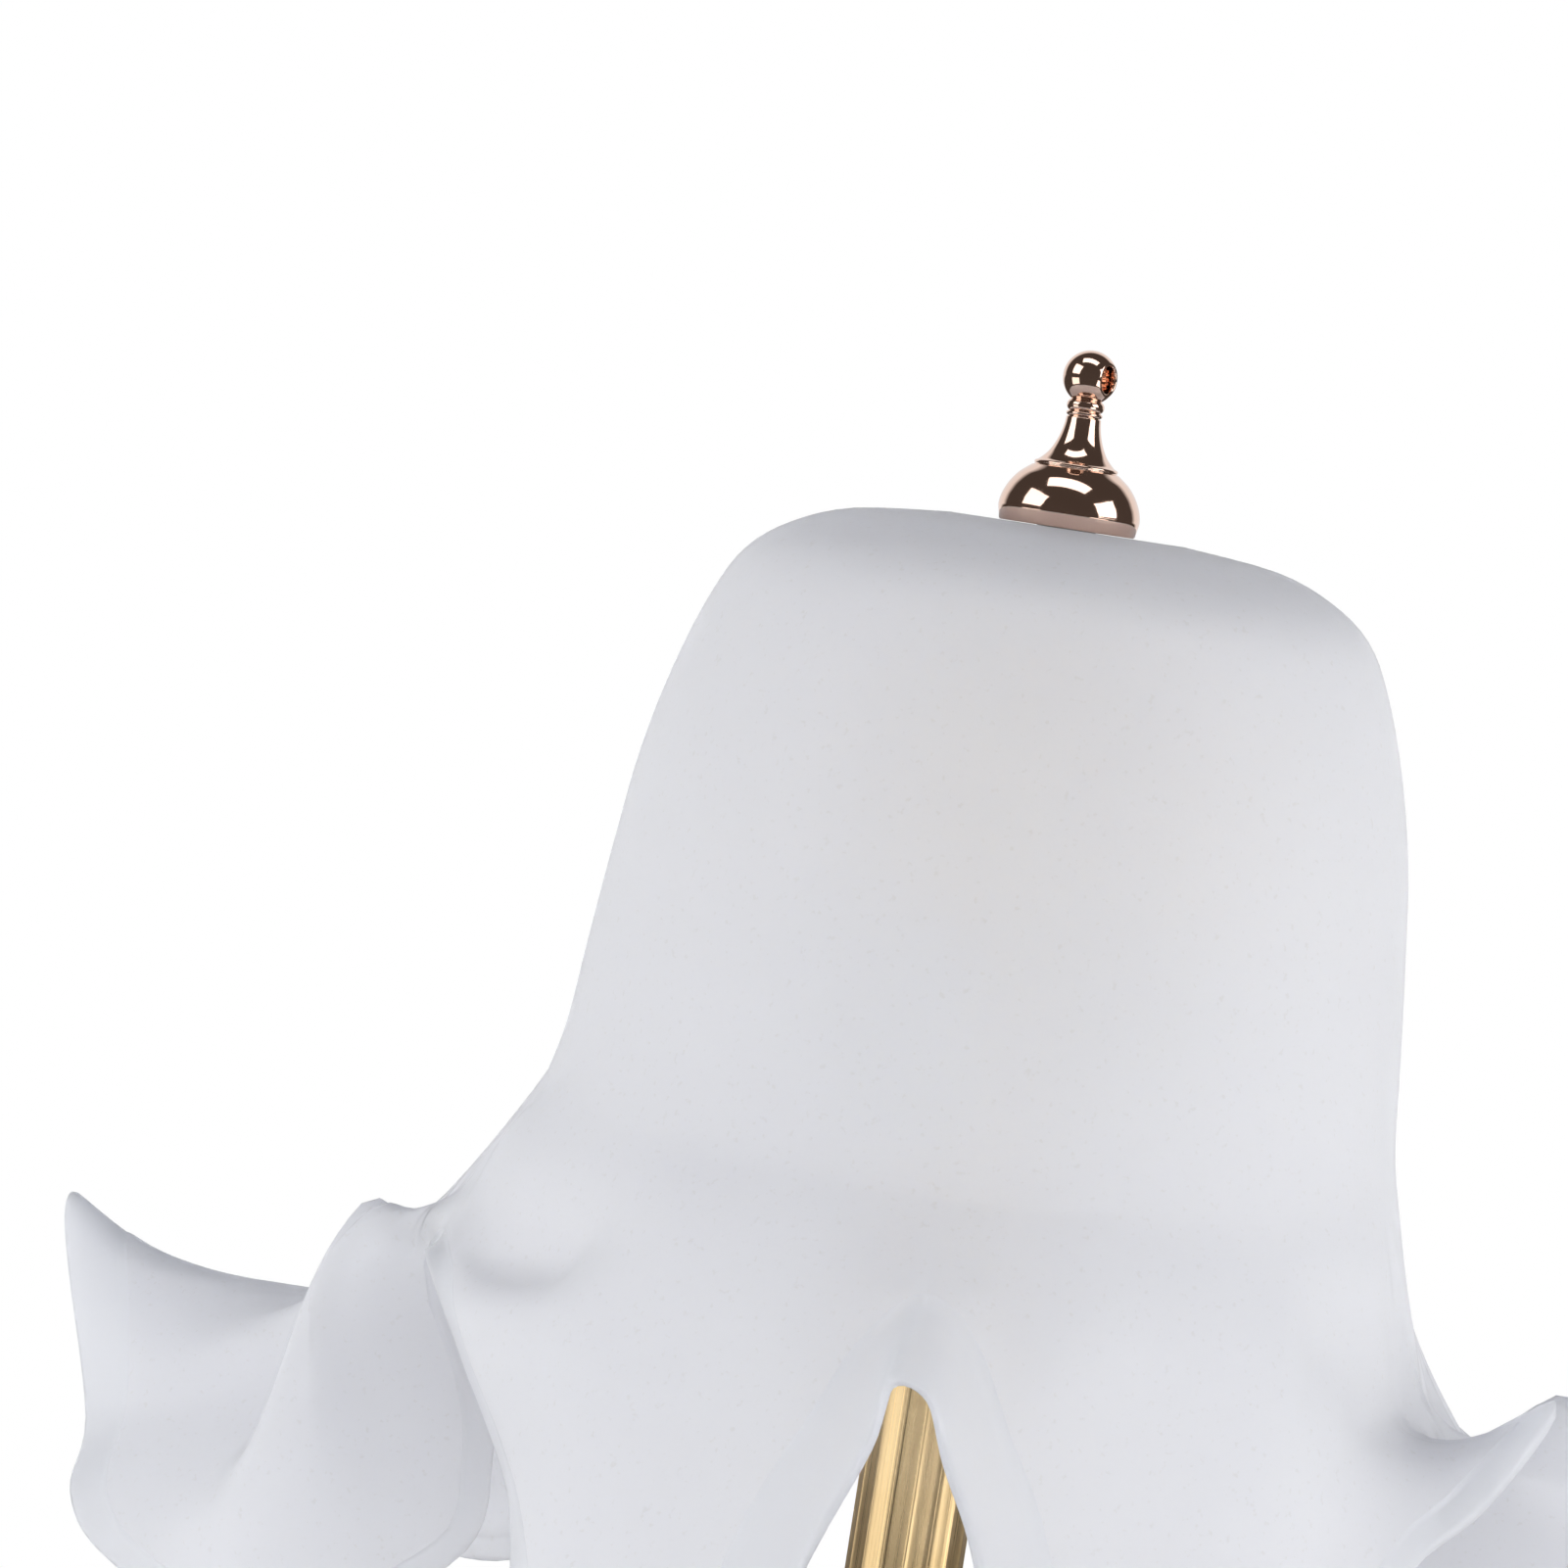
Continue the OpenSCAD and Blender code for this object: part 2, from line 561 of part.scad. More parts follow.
module holder_nuts() {
    color(STEEL)
    for (i = [0 : LAMPS - 1])
        at_lamp(i) hex_nut(4 * nipple_r, nipple_r + thread_gap, nut_h, cup_top_h - cup_wall - nut_h);
}

module lampholder_cup(i) {
    edge_r = 3;
    color(BRASS)
    at_lamp(i)
    difference() {
        rotate_extrude($fn = FINE)
            difference() {
                rounded_half(cup_r, cup_top_h - cup_h, cup_top_h, edge_r);
                rounded_half(cup_in_r, cup_top_h - cup_h - EPS, cup_top_h - cup_wall, edge_r - cup_wall);
            }
        translate([0, 0, cup_top_h - 2 * cup_wall]) cylinder(h = 3 * cup_wall, r = nipple_r + thread_gap, $fn = SMALL);
    }
}

module lamp_socket(i) {
    color(CERAMIC)
    at_lamp(i)
    translate([0, 0, socket_bottom_h])
    difference() {
        cylinder(h = socket_h, r = cup_in_r - thread_gap, $fn = FINE);
        for (side = [-1, 1])
            translate([side * pin_pitch / 2, 0, -EPS]) cylinder(h = pin_h + 2, r = pin_r + pass_gap, $fn = SMALL);
    }
}

// Capsule bulb with its two pins up in the socket
module bulb(i) {
    neck_h = 6;
    color([0.97, 0.96, 0.9])
    at_lamp(i)
    translate([0, 0, bulb_top_h - bulb_h]) {
        rotate_extrude($fn = SMALL)
            intersection() {
                union() {
                    translate([0, bulb_r]) circle(r = bulb_r, $fn = SMALL);
                    polygon([[0, bulb_r], [bulb_r, bulb_r], [bulb_r, bulb_h - 2 * neck_h],
                             [bulb_neck_r, bulb_h - neck_h], [bulb_neck_r, bulb_h], [0, bulb_h]]);
                }
                square([bulb_r, bulb_h]);
            }
        for (side = [-1, 1])
            translate([side * pin_pitch / 2, 0, bulb_h - EPS]) cylinder(h = pin_h + EPS, r = pin_r, $fn = SMALL);
    }
}

// Plate that carries the glass, with a collar that centres its hole
module rest_plate() {
    collar_h = gasket_t + seat_gap + glass_t / 2;
    color(BRASS)
    difference() {
        union() {
            translate([0, 0, rest_bottom_h]) cylinder(h = rest_plate_t, r = rest_plate_r, $fn = FINE);
            translate([0, 0, rest_top_h - EPS]) cylinder(h = collar_h, r = glass_hole_r - collar_gap, $fn = SMALL);
        }
        translate([0, 0, rest_bottom_h - EPS])
            cylinder(h = rest_plate_t + collar_h + 3 * EPS, r = rod_r + thread_gap, $fn = SMALL);
    }
}

module rest_nut() {
    color(STEEL) hex_nut(nut_w, rod_r + thread_gap, nut_h, rest_bottom_h - nut_h);
}

module lower_gasket() {
    color([0.9, 0.9, 0.9]) ring(lower_gasket_r, glass_hole_r - collar_gap + pass_gap, gasket_t, rest_top_h);
}

module upper_gasket() {
    color([0.9, 0.9, 0.9]) ring(upper_gasket_r, rod_r + pass_gap, gasket_t, gasket_foot_h);
}

// Turned cap with a dome, a cove, a bead and a ball with an eye through it
module finial() {
    dome_r = finial_r * 0.735;
    dome_h = finial_h * 0.32;
    neck_r = finial_ball_r * 0.63;
    neck_h = finial_h * 0.67;
    recess_h = gasket_foot_h + gasket_t + seat_gap - finial_foot_h;
    color(ROSE)
    translate([0, 0, finial_foot_h])
    difference() {
        union() {
            rotate_extrude($fn = FINE)
                polygon(concat([[0, 0], [finial_r, 0]],
                    smooth([[finial_r, dome_h * 0.26], [finial_r * 0.975, dome_h * 0.45],
                            [finial_r * 0.9, dome_h * 0.69], [finial_r * 0.8, dome_h * 0.87], [dome_r, dome_h]], 4),
                    [[dome_r - 0.6, dome_h + 0.4], [dome_r - 0.6, dome_h + 1]],
                    smooth([[dome_r - 1.4, dome_h + 1.6], [neck_r + 2.1, dome_h + 4.1],
                            [neck_r + 1, dome_h + 5.9], [neck_r + 0.3, dome_h + 8.8], [neck_r, neck_h]], 4),
                    [[neck_r, ball_h], [0, ball_h]]));
            rotate_extrude($fn = FINE) translate([neck_r - 0.1, neck_h + 1.2]) circle(r = 0.7, $fn = SMALL);
            translate([0, 0, ball_h]) sphere(r = finial_ball_r, $fn = SMALL);
        }
        translate([0, 0, -EPS]) cylinder(h = finial_bore_h + EPS, r = rod_r + thread_gap, $fn = SMALL);
        translate([0, 0, -EPS]) cylinder(h = recess_h + EPS, r = upper_gasket_r + pass_gap, $fn = SMALL);
        translate([0, 0, ball_h]) rotate([90, 0, eye_turn])
            cylinder(h = 3 * finial_ball_r, r = eye_r, center = true, $fn = SMALL);
    }
}

module dimmer_body() {
    color(STEEL)
    at_dimmer()
    difference() {
        union() {
            translate([0, 0, dimmer_top_h - dimmer_body_h]) cylinder(h = dimmer_body_h, r = dimmer_body_r, $fn = FINE);
            translate([0, 0, dimmer_top_h - EPS])
                cylinder(h = cover_wall + dimmer_neck_h + EPS, r = dimmer_neck_r, $fn = SMALL);
        }
        translate([0, 0, dimmer_top_h - dimmer_body_h / 2])
            cylinder(h = base_top_h, r = shaft_r + thread_gap, $fn = SMALL);
    }
}

module dimmer_nut() {
    color(STEEL) at_dimmer() hex_nut(dimmer_nut_w, dimmer_neck_r + thread_gap, dimmer_nut_h, base_ring_h);
}

module dimmer_shaft() {
    shaft_bottom_h = dimmer_top_h - dimmer_body_h / 2 + seat_gap;
    color(STEEL)
    at_dimmer() translate([0, 0, shaft_bottom_h])
        cylinder(h = base_ring_h + knob_gap + knob_h - 3 - shaft_bottom_h, r = shaft_r, $fn = SMALL);
}

// Grooved knob, hollow underneath over the nut
module dimmer_knob() {
    recess_h = dimmer_neck_h + 1;
    groove_r = PI * knob_r / knob_grooves * 0.45;
    color(BRASS)
    at_dimmer() translate([0, 0, base_ring_h + knob_gap])
    difference() {
        rotate_extrude($fn = FINE) rounded_half(knob_r, 0, knob_h, 1.2);
        for (i = [0 : knob_grooves - 1])
            rotate([0, 0, i * 360 / knob_grooves]) translate([knob_r, 0, 1.5])
                cylinder(h = knob_h - 4, r = groove_r, $fn = SMALL / 2);
        translate([0, 0, -EPS]) cylinder(h = recess_h + EPS, d = dimmer_nut_w + 1.2, $fn = FINE);
        translate([0, 0, -EPS]) cylinder(h = knob_h - 3 + EPS, r = shaft_r + thread_gap, $fn = SMALL);
    }
}

// Bush that the mains cable would enter by
module inlet_bush() {
    color(DARK)
    at_inlet()
    difference() {
        union() {
            translate([0, 0, -bush_flange_t]) cylinder(h = bush_flange_t, r = bush_flange_r, $fn = SMALL);
            translate([0, 0, -EPS]) cylinder(h = bush_neck_h, r = bush_r - thread_gap, $fn = SMALL);
        }
        translate([0, 0, -bush_flange_t - EPS])
            cylinder(h = bush_flange_t + bush_neck_h + 3 * EPS, r = inlet_r, $fn = SMALL);
    }
}

base_pad();
base_weight();
base_cover();
rod_nut();
rod_washer();
threaded_rod();
stem_wires();
column_foot();
column();
column_cap();
cluster_body();
cluster_nut();
holder_nuts();
lampholder_cup(0);  // lampholder_cup_1
lampholder_cup(1);  // lampholder_cup_2
lampholder_cup(2);  // lampholder_cup_3
lamp_socket(0);  // lamp_socket_1
lamp_socket(1);  // lamp_socket_2
lamp_socket(2);  // lamp_socket_3
bulb(0);  // bulb_1
bulb(1);  // bulb_2
bulb(2);  // bulb_3
rest_plate();
rest_nut();
lower_gasket();
shade();
upper_gasket();
finial();
dimmer_body();
dimmer_nut();
dimmer_shaft();
dimmer_knob();
inlet_bush();
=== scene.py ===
import math

import bpy
import numpy as np
from mathutils import Matrix, Vector, kdtree


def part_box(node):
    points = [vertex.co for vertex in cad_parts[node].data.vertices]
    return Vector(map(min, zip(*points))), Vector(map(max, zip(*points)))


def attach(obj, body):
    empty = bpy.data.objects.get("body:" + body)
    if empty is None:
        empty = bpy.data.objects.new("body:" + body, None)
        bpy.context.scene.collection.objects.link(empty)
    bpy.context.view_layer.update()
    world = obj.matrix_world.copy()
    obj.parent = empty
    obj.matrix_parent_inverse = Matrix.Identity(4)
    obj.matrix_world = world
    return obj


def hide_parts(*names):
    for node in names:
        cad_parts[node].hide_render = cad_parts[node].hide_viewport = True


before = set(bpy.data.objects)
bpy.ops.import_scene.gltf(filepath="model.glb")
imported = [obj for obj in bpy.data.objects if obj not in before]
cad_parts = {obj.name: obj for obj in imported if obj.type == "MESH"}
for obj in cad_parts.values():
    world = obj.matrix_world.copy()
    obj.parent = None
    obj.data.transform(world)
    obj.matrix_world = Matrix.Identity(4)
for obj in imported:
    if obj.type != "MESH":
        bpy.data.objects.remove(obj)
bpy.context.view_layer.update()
scene = bpy.context.scene
FINE = 2

# Camera: level with the top of the glass and 0.75 m in front, rolled so that the lamp leans as in
# the photo. The lens makes 6 photo pixels of each millimetre at the stem.
CAMERA_PLACE = Vector((0, -0.75, 0.42))
CAMERA_AIM = Vector((-0.0407, 0, 0.370))
VIEW_WIDTH = 0.2668
ROLL = math.radians(8.7)
SENSOR = 36
ahead = (CAMERA_AIM - CAMERA_PLACE).normalized()
beside = ahead.cross(Vector((0, 0, 1))).normalized()
above = beside.cross(ahead)
camera_x = beside * math.cos(ROLL) + above * math.sin(ROLL)
camera_y = -beside * math.sin(ROLL) + above * math.cos(ROLL)
camera_turn = Matrix((camera_x, camera_y, -ahead)).transposed().to_4x4()
camera = bpy.data.objects.new("camera", bpy.data.cameras.new("camera"))
scene.collection.objects.link(camera)
camera.matrix_world = Matrix.Translation(CAMERA_PLACE) @ camera_turn
camera.data.sensor_width = SENSOR
camera.data.lens = SENSOR * (CAMERA_AIM - CAMERA_PLACE).length / VIEW_WIDTH
camera.data.dof.use_dof = False
scene.camera = camera
scene.view_settings.view_transform = "Standard"


# World: pure white to the camera and through the glass, and a studio for everything else. The room
# that the metal mirrors is dark on the camera's side and low down, and white behind the lamp. The
# soft light is bright low down and dim overhead.
def two_tones(nodes, low_at, low, high_at, high):
    ramp = nodes.new("ShaderNodeValToRGB")
    first, last = ramp.color_ramp.elements
    first.position = low_at
    first.color = (*low, 1)
    last.position = high_at
    last.color = (*high, 1)
    return ramp


def from_minus_one(nodes, links, source):
    shift = nodes.new("ShaderNodeMapRange")
    shift.inputs["From Min"].default_value = -1
    links.new(source, shift.inputs["Value"])
    return shift.outputs["Result"]


world = bpy.data.worlds.new("studio")
scene.world = world
world.use_nodes = True
nodes = world.node_tree.nodes
links = world.node_tree.links
nodes.clear()
LOW_SIDE = 1.5
room_way = nodes.new("ShaderNodeTexCoord")
room_split = nodes.new("ShaderNodeSeparateXYZ")
links.new(room_way.outputs["Generated"], room_split.inputs[0])
below = nodes.new("ShaderNodeMath")
below.operation = "MINIMUM"
below.inputs[1].default_value = 0
links.new(room_split.outputs["Z"], below.inputs[0])
tilted = nodes.new("ShaderNodeMath")
tilted.operation = "MULTIPLY_ADD"
tilted.inputs[1].default_value = LOW_SIDE
links.new(below.outputs[0], tilted.inputs[0])
links.new(room_split.outputs["Y"], tilted.inputs[2])
room_depth = two_tones(nodes, 0.78, (0.06, 0.05, 0.045), 0.86, (0.85, 0.85, 0.86))
links.new(from_minus_one(nodes, links, tilted.outputs[0]), room_depth.inputs["Fac"])
room_light = nodes.new("ShaderNodeBackground")
links.new(room_depth.outputs["Color"], room_light.inputs["Color"])
room_height = two_tones(nodes, 0.45, (0.94, 0.95, 0.97), 0.9, (0.05, 0.06, 0.09))
links.new(from_minus_one(nodes, links, room_split.outputs["Z"]), room_height.inputs["Fac"])
soft_light = nodes.new("ShaderNodeBackground")
soft_light.inputs["Strength"].default_value = 1.42
links.new(room_height.outputs["Color"], soft_light.inputs["Color"])
path = nodes.new("ShaderNodeLightPath")
white_light = nodes.new("ShaderNodeBackground")
white_light.inputs["Color"].default_value = (1, 1, 1, 1)
glossy_or_soft = nodes.new("ShaderNodeMixShader")
links.new(path.outputs["Is Glossy Ray"], glossy_or_soft.inputs["Fac"])
links.new(soft_light.outputs[0], glossy_or_soft.inputs[1])
links.new(room_light.outputs[0], glossy_or_soft.inputs[2])
clear_ray = nodes.new("ShaderNodeMath")
clear_ray.operation = "MAXIMUM"
links.new(path.outputs["Is Camera Ray"], clear_ray.inputs[0])
links.new(path.outputs["Is Transmission Ray"], clear_ray.inputs[1])
world_mix = nodes.new("ShaderNodeMixShader")
links.new(clear_ray.outputs[0], world_mix.inputs["Fac"])
links.new(glossy_or_soft.outputs[0], world_mix.inputs[1])
links.new(white_light.outputs[0], world_mix.inputs[2])
world_out = nodes.new("ShaderNodeOutputWorld")
links.new(world_mix.outputs[0], world_out.inputs["Surface"])

# Lights: two wide softboxes at the sides of the camera and one overhead, which the finial mirrors,
# two low panels beside the table, which the column mirrors as bright stripes, and two weak fills that
# no metal mirrors. Each one has a place, a size, a power and a tint. The softbox overhead lights
# nothing but the reflections.
LIT_POINT = Vector((0, 0, 0.33))
for name, place, size, power, tint in [
    ("softbox_left", (-1.06, -0.48, 0.95), (0.85, 0.75), 3.6, (1, 0.99, 0.98)),
    ("softbox_right", (1.06, -0.47, 0.9), (0.8, 0.75), 4.5, (1, 0.99, 0.98)),
    ("panel_left", (-1.04, -0.5, 0.04), (0.75, 0.5), 1.7, (1, 0.985, 0.97)),
    ("panel_right", (0.9, -0.72, 0.04), (0.7, 0.5), 2.3, (1, 0.985, 0.97)),
    ("softbox_top", (-0.08, -0.25, 1.35), (0.95, 0.36), 2.0, (1, 1, 1)),
    ("fill_left", (-1.1, 0.2, 0.32), (0.8, 0.8), 1.3, (1, 1, 1)),
    ("fill_right", (1.1, 0.3, 0.34), (0.8, 0.8), 1.7, (1, 1, 1)),
]:
    lamp = bpy.data.lights.new(name, "AREA")
    lamp.shape = "RECTANGLE"
    lamp.size, lamp.size_y = size
    lamp.energy = power
    lamp.color = tint
    holder = bpy.data.objects.new(name, lamp)
    scene.collection.objects.link(holder)
    holder.location = place
    holder.rotation_euler = (holder.location - LIT_POINT).to_track_quat("Z", "Y").to_euler()
    holder.visible_diffuse = name != "softbox_top"
    holder.visible_glossy = not name.startswith("fill")


# Each piece gets a mesh of its own, and each material starts from the plain shader
def new_piece(name, points, faces, smooth=True):
    mesh = bpy.data.meshes.new(name)
    mesh.from_pydata([tuple(p) for p in points], [], faces)
    mesh.validate()
    if smooth:
        mesh.shade_smooth()
    piece = bpy.data.objects.new(name, mesh)
    scene.collection.objects.link(piece)
    return piece


def new_material(name):
    made = bpy.data.materials.new(name)
    made.use_nodes = True
    return made, made.node_tree.nodes, made.node_tree.links, made.node_tree.nodes["Principled BSDF"]


# Floor: a pale round table top that the lamp stands on, out of the camera's view. It is not a part of
# the lamp.
TABLE_R = 0.62
TABLE_SIDES = 96
TABLE_DROP = 0.0002
rim = np.linspace(0, 2 * math.pi, TABLE_SIDES, endpoint=False)
floor_points = [(TABLE_R * math.cos(a), TABLE_R * math.sin(a), -TABLE_DROP) for a in rim]
floor = new_piece("floor", floor_points, [list(range(TABLE_SIDES))], smooth=False)
floor_look, nodes, links, shader = new_material("pale_floor")
shader.inputs["Base Color"].default_value = (0.8, 0.8, 0.8, 1)
shader.inputs["Roughness"].default_value = 0.6
floor.data.materials.append(floor_look)


# Shared effect: fine grain, given as a bumped normal and as the height that colour and roughness use
def new_group(name, sockets):
    group = bpy.data.node_groups.new(name, "ShaderNodeTree")
    for way, label, kind, value in sockets:
        socket = group.interface.new_socket(name=label, in_out=way, socket_type=kind)
        if value is not None:
            socket.default_value = value
    ins = group.nodes.new("NodeGroupInput")
    outs = group.nodes.new("NodeGroupOutput")
    return group, group.nodes, group.links, ins, outs


FLOAT = "NodeSocketFloat"
grain_group, nodes, links, ins, outs = new_group("grain", [
    ("INPUT", "Scale", FLOAT, 1000.0),
    ("INPUT", "Bump", FLOAT, 0.1),
    ("OUTPUT", "Fac", FLOAT, None),
    ("OUTPUT", "Normal", "NodeSocketVector", None),
])
place = nodes.new("ShaderNodeTexCoord")
cloud = nodes.new("ShaderNodeTexNoise")
cloud.inputs["Detail"].default_value = 4
links.new(place.outputs["Object"], cloud.inputs["Vector"])
links.new(ins.outputs["Scale"], cloud.inputs["Scale"])
bump = nodes.new("ShaderNodeBump")
bump.inputs["Distance"].default_value = 0.0002
links.new(ins.outputs["Bump"], bump.inputs["Strength"])
links.new(cloud.outputs["Fac"], bump.inputs["Height"])
links.new(cloud.outputs["Fac"], outs.inputs["Fac"])
links.new(bump.outputs["Normal"], outs.inputs["Normal"])


# The grain in a material: it bumps the surface and moves the roughness between two values
def add_grain(nodes, links, shader, scale, height, rough):
    grain = nodes.new("ShaderNodeGroup")
    grain.node_tree = grain_group
    grain.inputs["Scale"].default_value = scale
    grain.inputs["Bump"].default_value = height
    links.new(grain.outputs["Normal"], shader.inputs["Normal"])
    worn = nodes.new("ShaderNodeMapRange")
    worn.inputs["To Min"].default_value = rough[0]
    worn.inputs["To Max"].default_value = rough[1]
    links.new(grain.outputs["Fac"], worn.inputs["Value"])
    links.new(worn.outputs[0], shader.inputs["Roughness"])
    return grain


# Paint, felt, nylon, ceramic, silicone, woven sleeve and the bulbs' cover share one build: a colour
# that varies with the grain between a dark and a light tone. The numbers after the two tones are the
# grain's scale, the height of its bump and the range of roughness.
def plain_look(name, dark, light, scale, height, rough, spread=(0.35, 0.65)):
    made, nodes, links, shader = new_material(name)
    grain = add_grain(nodes, links, shader, scale, height, rough)
    tone = two_tones(nodes, spread[0], dark, spread[1], light)
    links.new(grain.outputs["Fac"], tone.inputs["Fac"])
    links.new(tone.outputs["Color"], shader.inputs["Base Color"])
    return made, shader


# Pieces that keep their CAD shape: points that lie on each other are welded, and each edge gets a small
# worn bevel, since no cast, spun or turned edge is quite sharp
def keep_shape(name, look):
    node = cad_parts[name]
    node.data.materials.clear()
    node.data.materials.append(look)
    weld = node.modifiers.new("weld", "WELD")
    weld.merge_threshold = 0.00001
    worn = node.modifiers.new("worn_edges", "BEVEL")
    worn.width = 0.0003
    worn.segments = 2
    worn.limit_method = "ANGLE"
    worn.angle_limit = math.radians(40)
    worn.harden_normals = True


# Base: a cast iron disc, painted black, whose weight keeps the lamp from tipping. A pad of grey felt is
# glued under it, so that it doesn't scratch the table.
cast_iron, _ = plain_look("painted_cast_iron", (0.035, 0.036, 0.04), (0.07, 0.07, 0.075),
                          900, 0.7, (0.5, 0.75))
felt, shader = plain_look("grey_felt", (0.045, 0.045, 0.047), (0.11, 0.11, 0.115), 2600, 1.0, (0.9, 1.0))
shader.inputs["Sheen Weight"].default_value = 0.6
shader.inputs["Sheen Roughness"].default_value = 0.6
keep_shape("base_weight", cast_iron)
keep_shape("base_pad", felt)

# Rod: a threaded tube of zinc plated steel that runs through the whole lamp and holds every piece. A
# nut and a washer clamp it under the base. The plating is bright grey, slightly yellow in patches.
zinc_steel, nodes, links, shader = new_material("zinc_steel")
shader.inputs["Metallic"].default_value = 1
spangle = add_grain(nodes, links, shader, 700, 0.2, (0.25, 0.45))
tone = two_tones(nodes, 0.3, (0.5, 0.49, 0.45), 0.7, (0.68, 0.69, 0.7))
links.new(spangle.outputs["Fac"], tone.inputs["Fac"])
links.new(tone.outputs["Color"], shader.inputs["Base Color"])
for name in ("threaded_rod", "rod_nut", "rod_washer"):
    keep_shape(name, zinc_steel)

# Wires: they run up inside the rod from the base to the lampholders, in a pale woven sleeve
wire_sleeve, _ = plain_look("wire_sleeve", (0.66, 0.6, 0.47), (0.74, 0.7, 0.58), 1800, 0.3, (0.4, 0.55))
keep_shape("stem_wires", wire_sleeve)

# Shared effect: long fine streaks along one direction, for brushed and turned metal
brush_group, nodes, links, ins, outs = new_group("brushing", [
    ("INPUT", "Vector", "NodeSocketVector", None),
    ("INPUT", "Bump", FLOAT, 0.1),
    ("OUTPUT", "Fac", FLOAT, None),
    ("OUTPUT", "Normal", "NodeSocketVector", None),
])
streak = nodes.new("ShaderNodeTexNoise")
streak.inputs["Scale"].default_value = 1.0
streak.inputs["Detail"].default_value = 5
links.new(ins.outputs["Vector"], streak.inputs["Vector"])
bump = nodes.new("ShaderNodeBump")
bump.inputs["Distance"].default_value = 0.0001
links.new(ins.outputs["Bump"], bump.inputs["Strength"])
links.new(streak.outputs["Fac"], bump.inputs["Height"])
links.new(streak.outputs["Fac"], outs.inputs["Fac"])
links.new(bump.outputs["Normal"], outs.inputs["Normal"])


# Satin brass: brushed along the stem or turned round it, with darker lacquer in patches
def brass_look(name, turned):
    made, nodes, links, shader = new_material(name)
    shader.inputs["Metallic"].default_value = 1
    place = nodes.new("ShaderNodeTexCoord")
    if turned:
        # Rings round the stem: the streaks follow the distance from the axis and the height
        split = nodes.new("ShaderNodeSeparateXYZ")
        links.new(place.outputs["Object"], split.inputs[0])
        flat = nodes.new("ShaderNodeCombineXYZ")
        links.new(split.outputs["X"], flat.inputs["X"])
        links.new(split.outputs["Y"], flat.inputs["Y"])
        reach = nodes.new("ShaderNodeVectorMath")
        reach.operation = "LENGTH"
        links.new(flat.outputs[0], reach.inputs[0])
        ringed = nodes.new("ShaderNodeCombineXYZ")
        links.new(reach.outputs["Value"], ringed.inputs["X"])
        links.new(split.outputs["Z"], ringed.inputs["Z"])
        source = ringed.outputs[0]
        stretch = (4000, 1, 4000)
    else:
        source = place.outputs["Object"]
        stretch = (3500, 3500, 14)
    mapping = nodes.new("ShaderNodeMapping")
    mapping.inputs["Scale"].default_value = stretch
    links.new(source, mapping.inputs["Vector"])
    brush = nodes.new("ShaderNodeGroup")
    brush.node_tree = brush_group
    brush.inputs["Bump"].default_value = 0.25
    links.new(mapping.outputs[0], brush.inputs["Vector"])
    links.new(brush.outputs["Normal"], shader.inputs["Normal"])
    polish = nodes.new("ShaderNodeMapRange")
    polish.inputs["From Min"].default_value = 0.3
    polish.inputs["From Max"].default_value = 0.7
    polish.inputs["To Min"].default_value = 0.22
    polish.inputs["To Max"].default_value = 0.42
    links.new(brush.outputs["Fac"], polish.inputs["Value"])
    links.new(polish.outputs[0], shader.inputs["Roughness"])
    patches = nodes.new("ShaderNodeTexNoise")
    patches.inputs["Scale"].default_value = 60
    patches.inputs["Detail"].default_value = 3
    links.new(place.outputs["Object"], patches.inputs["Vector"])
    tone = two_tones(nodes, 0.35, (0.74, 0.54, 0.27), 0.65, (0.82, 0.62, 0.34))
    links.new(patches.outputs["Fac"], tone.inputs["Fac"])
    links.new(tone.outputs["Color"], shader.inputs["Base Color"])
    return made


# Base cover: brass sheet, spun to a low shell that hides the cast disc, with the fine rings that the
# turning leaves
turned_brass = brass_look("turned_brass", True)
keep_shape("base_cover", turned_brass)

# Dimmer: a rotary control of zinc plated steel inside the base, held by its nut. Its shaft comes up
# through the cover and carries a knob turned from brass.
for name in ("dimmer_body", "dimmer_nut", "dimmer_shaft"):
    keep_shape(name, zinc_steel)
keep_shape("dimmer_knob", turned_brass)

# Pointer: a raised bar of black nylon with half round ends, set on top of the knob. It stands at half
# past seven when the lamp is off. Its layers are [share of the width, share of the length, height].
black_nylon, _ = plain_look("black_nylon", (0.02, 0.02, 0.021), (0.035, 0.035, 0.036), 1500, 0.4, (0.4, 0.6))
low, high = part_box("dimmer_knob")
POINTER_R = 0.55
POINTER_OUT = 7.0
POINTER_IN = 2.6
POINTER_MIDDLE = 4.8
POINTER_SIDES = 24
POINTER_LAYERS = [[1, 1, -0.1], [1, 1, 0.12], [0.7, 0.97, 0.2]]
OFF_TURN = math.radians(-45)
across = []
for a in np.linspace(0, 2 * math.pi, POINTER_SIDES, endpoint=False):
    along = POINTER_OUT if math.sin(a) > 0 else POINTER_IN
    across.append((POINTER_R * math.cos(a), -along - POINTER_R * math.sin(a)))
pointer_points = [(x * width, -POINTER_MIDDLE + (y + POINTER_MIDDLE) * length, h)
                  for width, length, h in POINTER_LAYERS for x, y in across]
pointer_points = [(x / 1000, y / 1000, h / 1000) for x, y, h in pointer_points]
pointer_faces = []
for j in range(len(POINTER_LAYERS) - 1):
    for i in range(POINTER_SIDES):
        k = (i + 1) % POINTER_SIDES
        this_layer = j * POINTER_SIDES
        next_layer = this_layer + POINTER_SIDES
        pointer_faces.append((this_layer + i, this_layer + k, next_layer + k, next_layer + i))
pointer_faces.append(tuple(range(len(pointer_points) - POINTER_SIDES, len(pointer_points))))
pointer = new_piece("knob_pointer", pointer_points, pointer_faces, smooth=False)
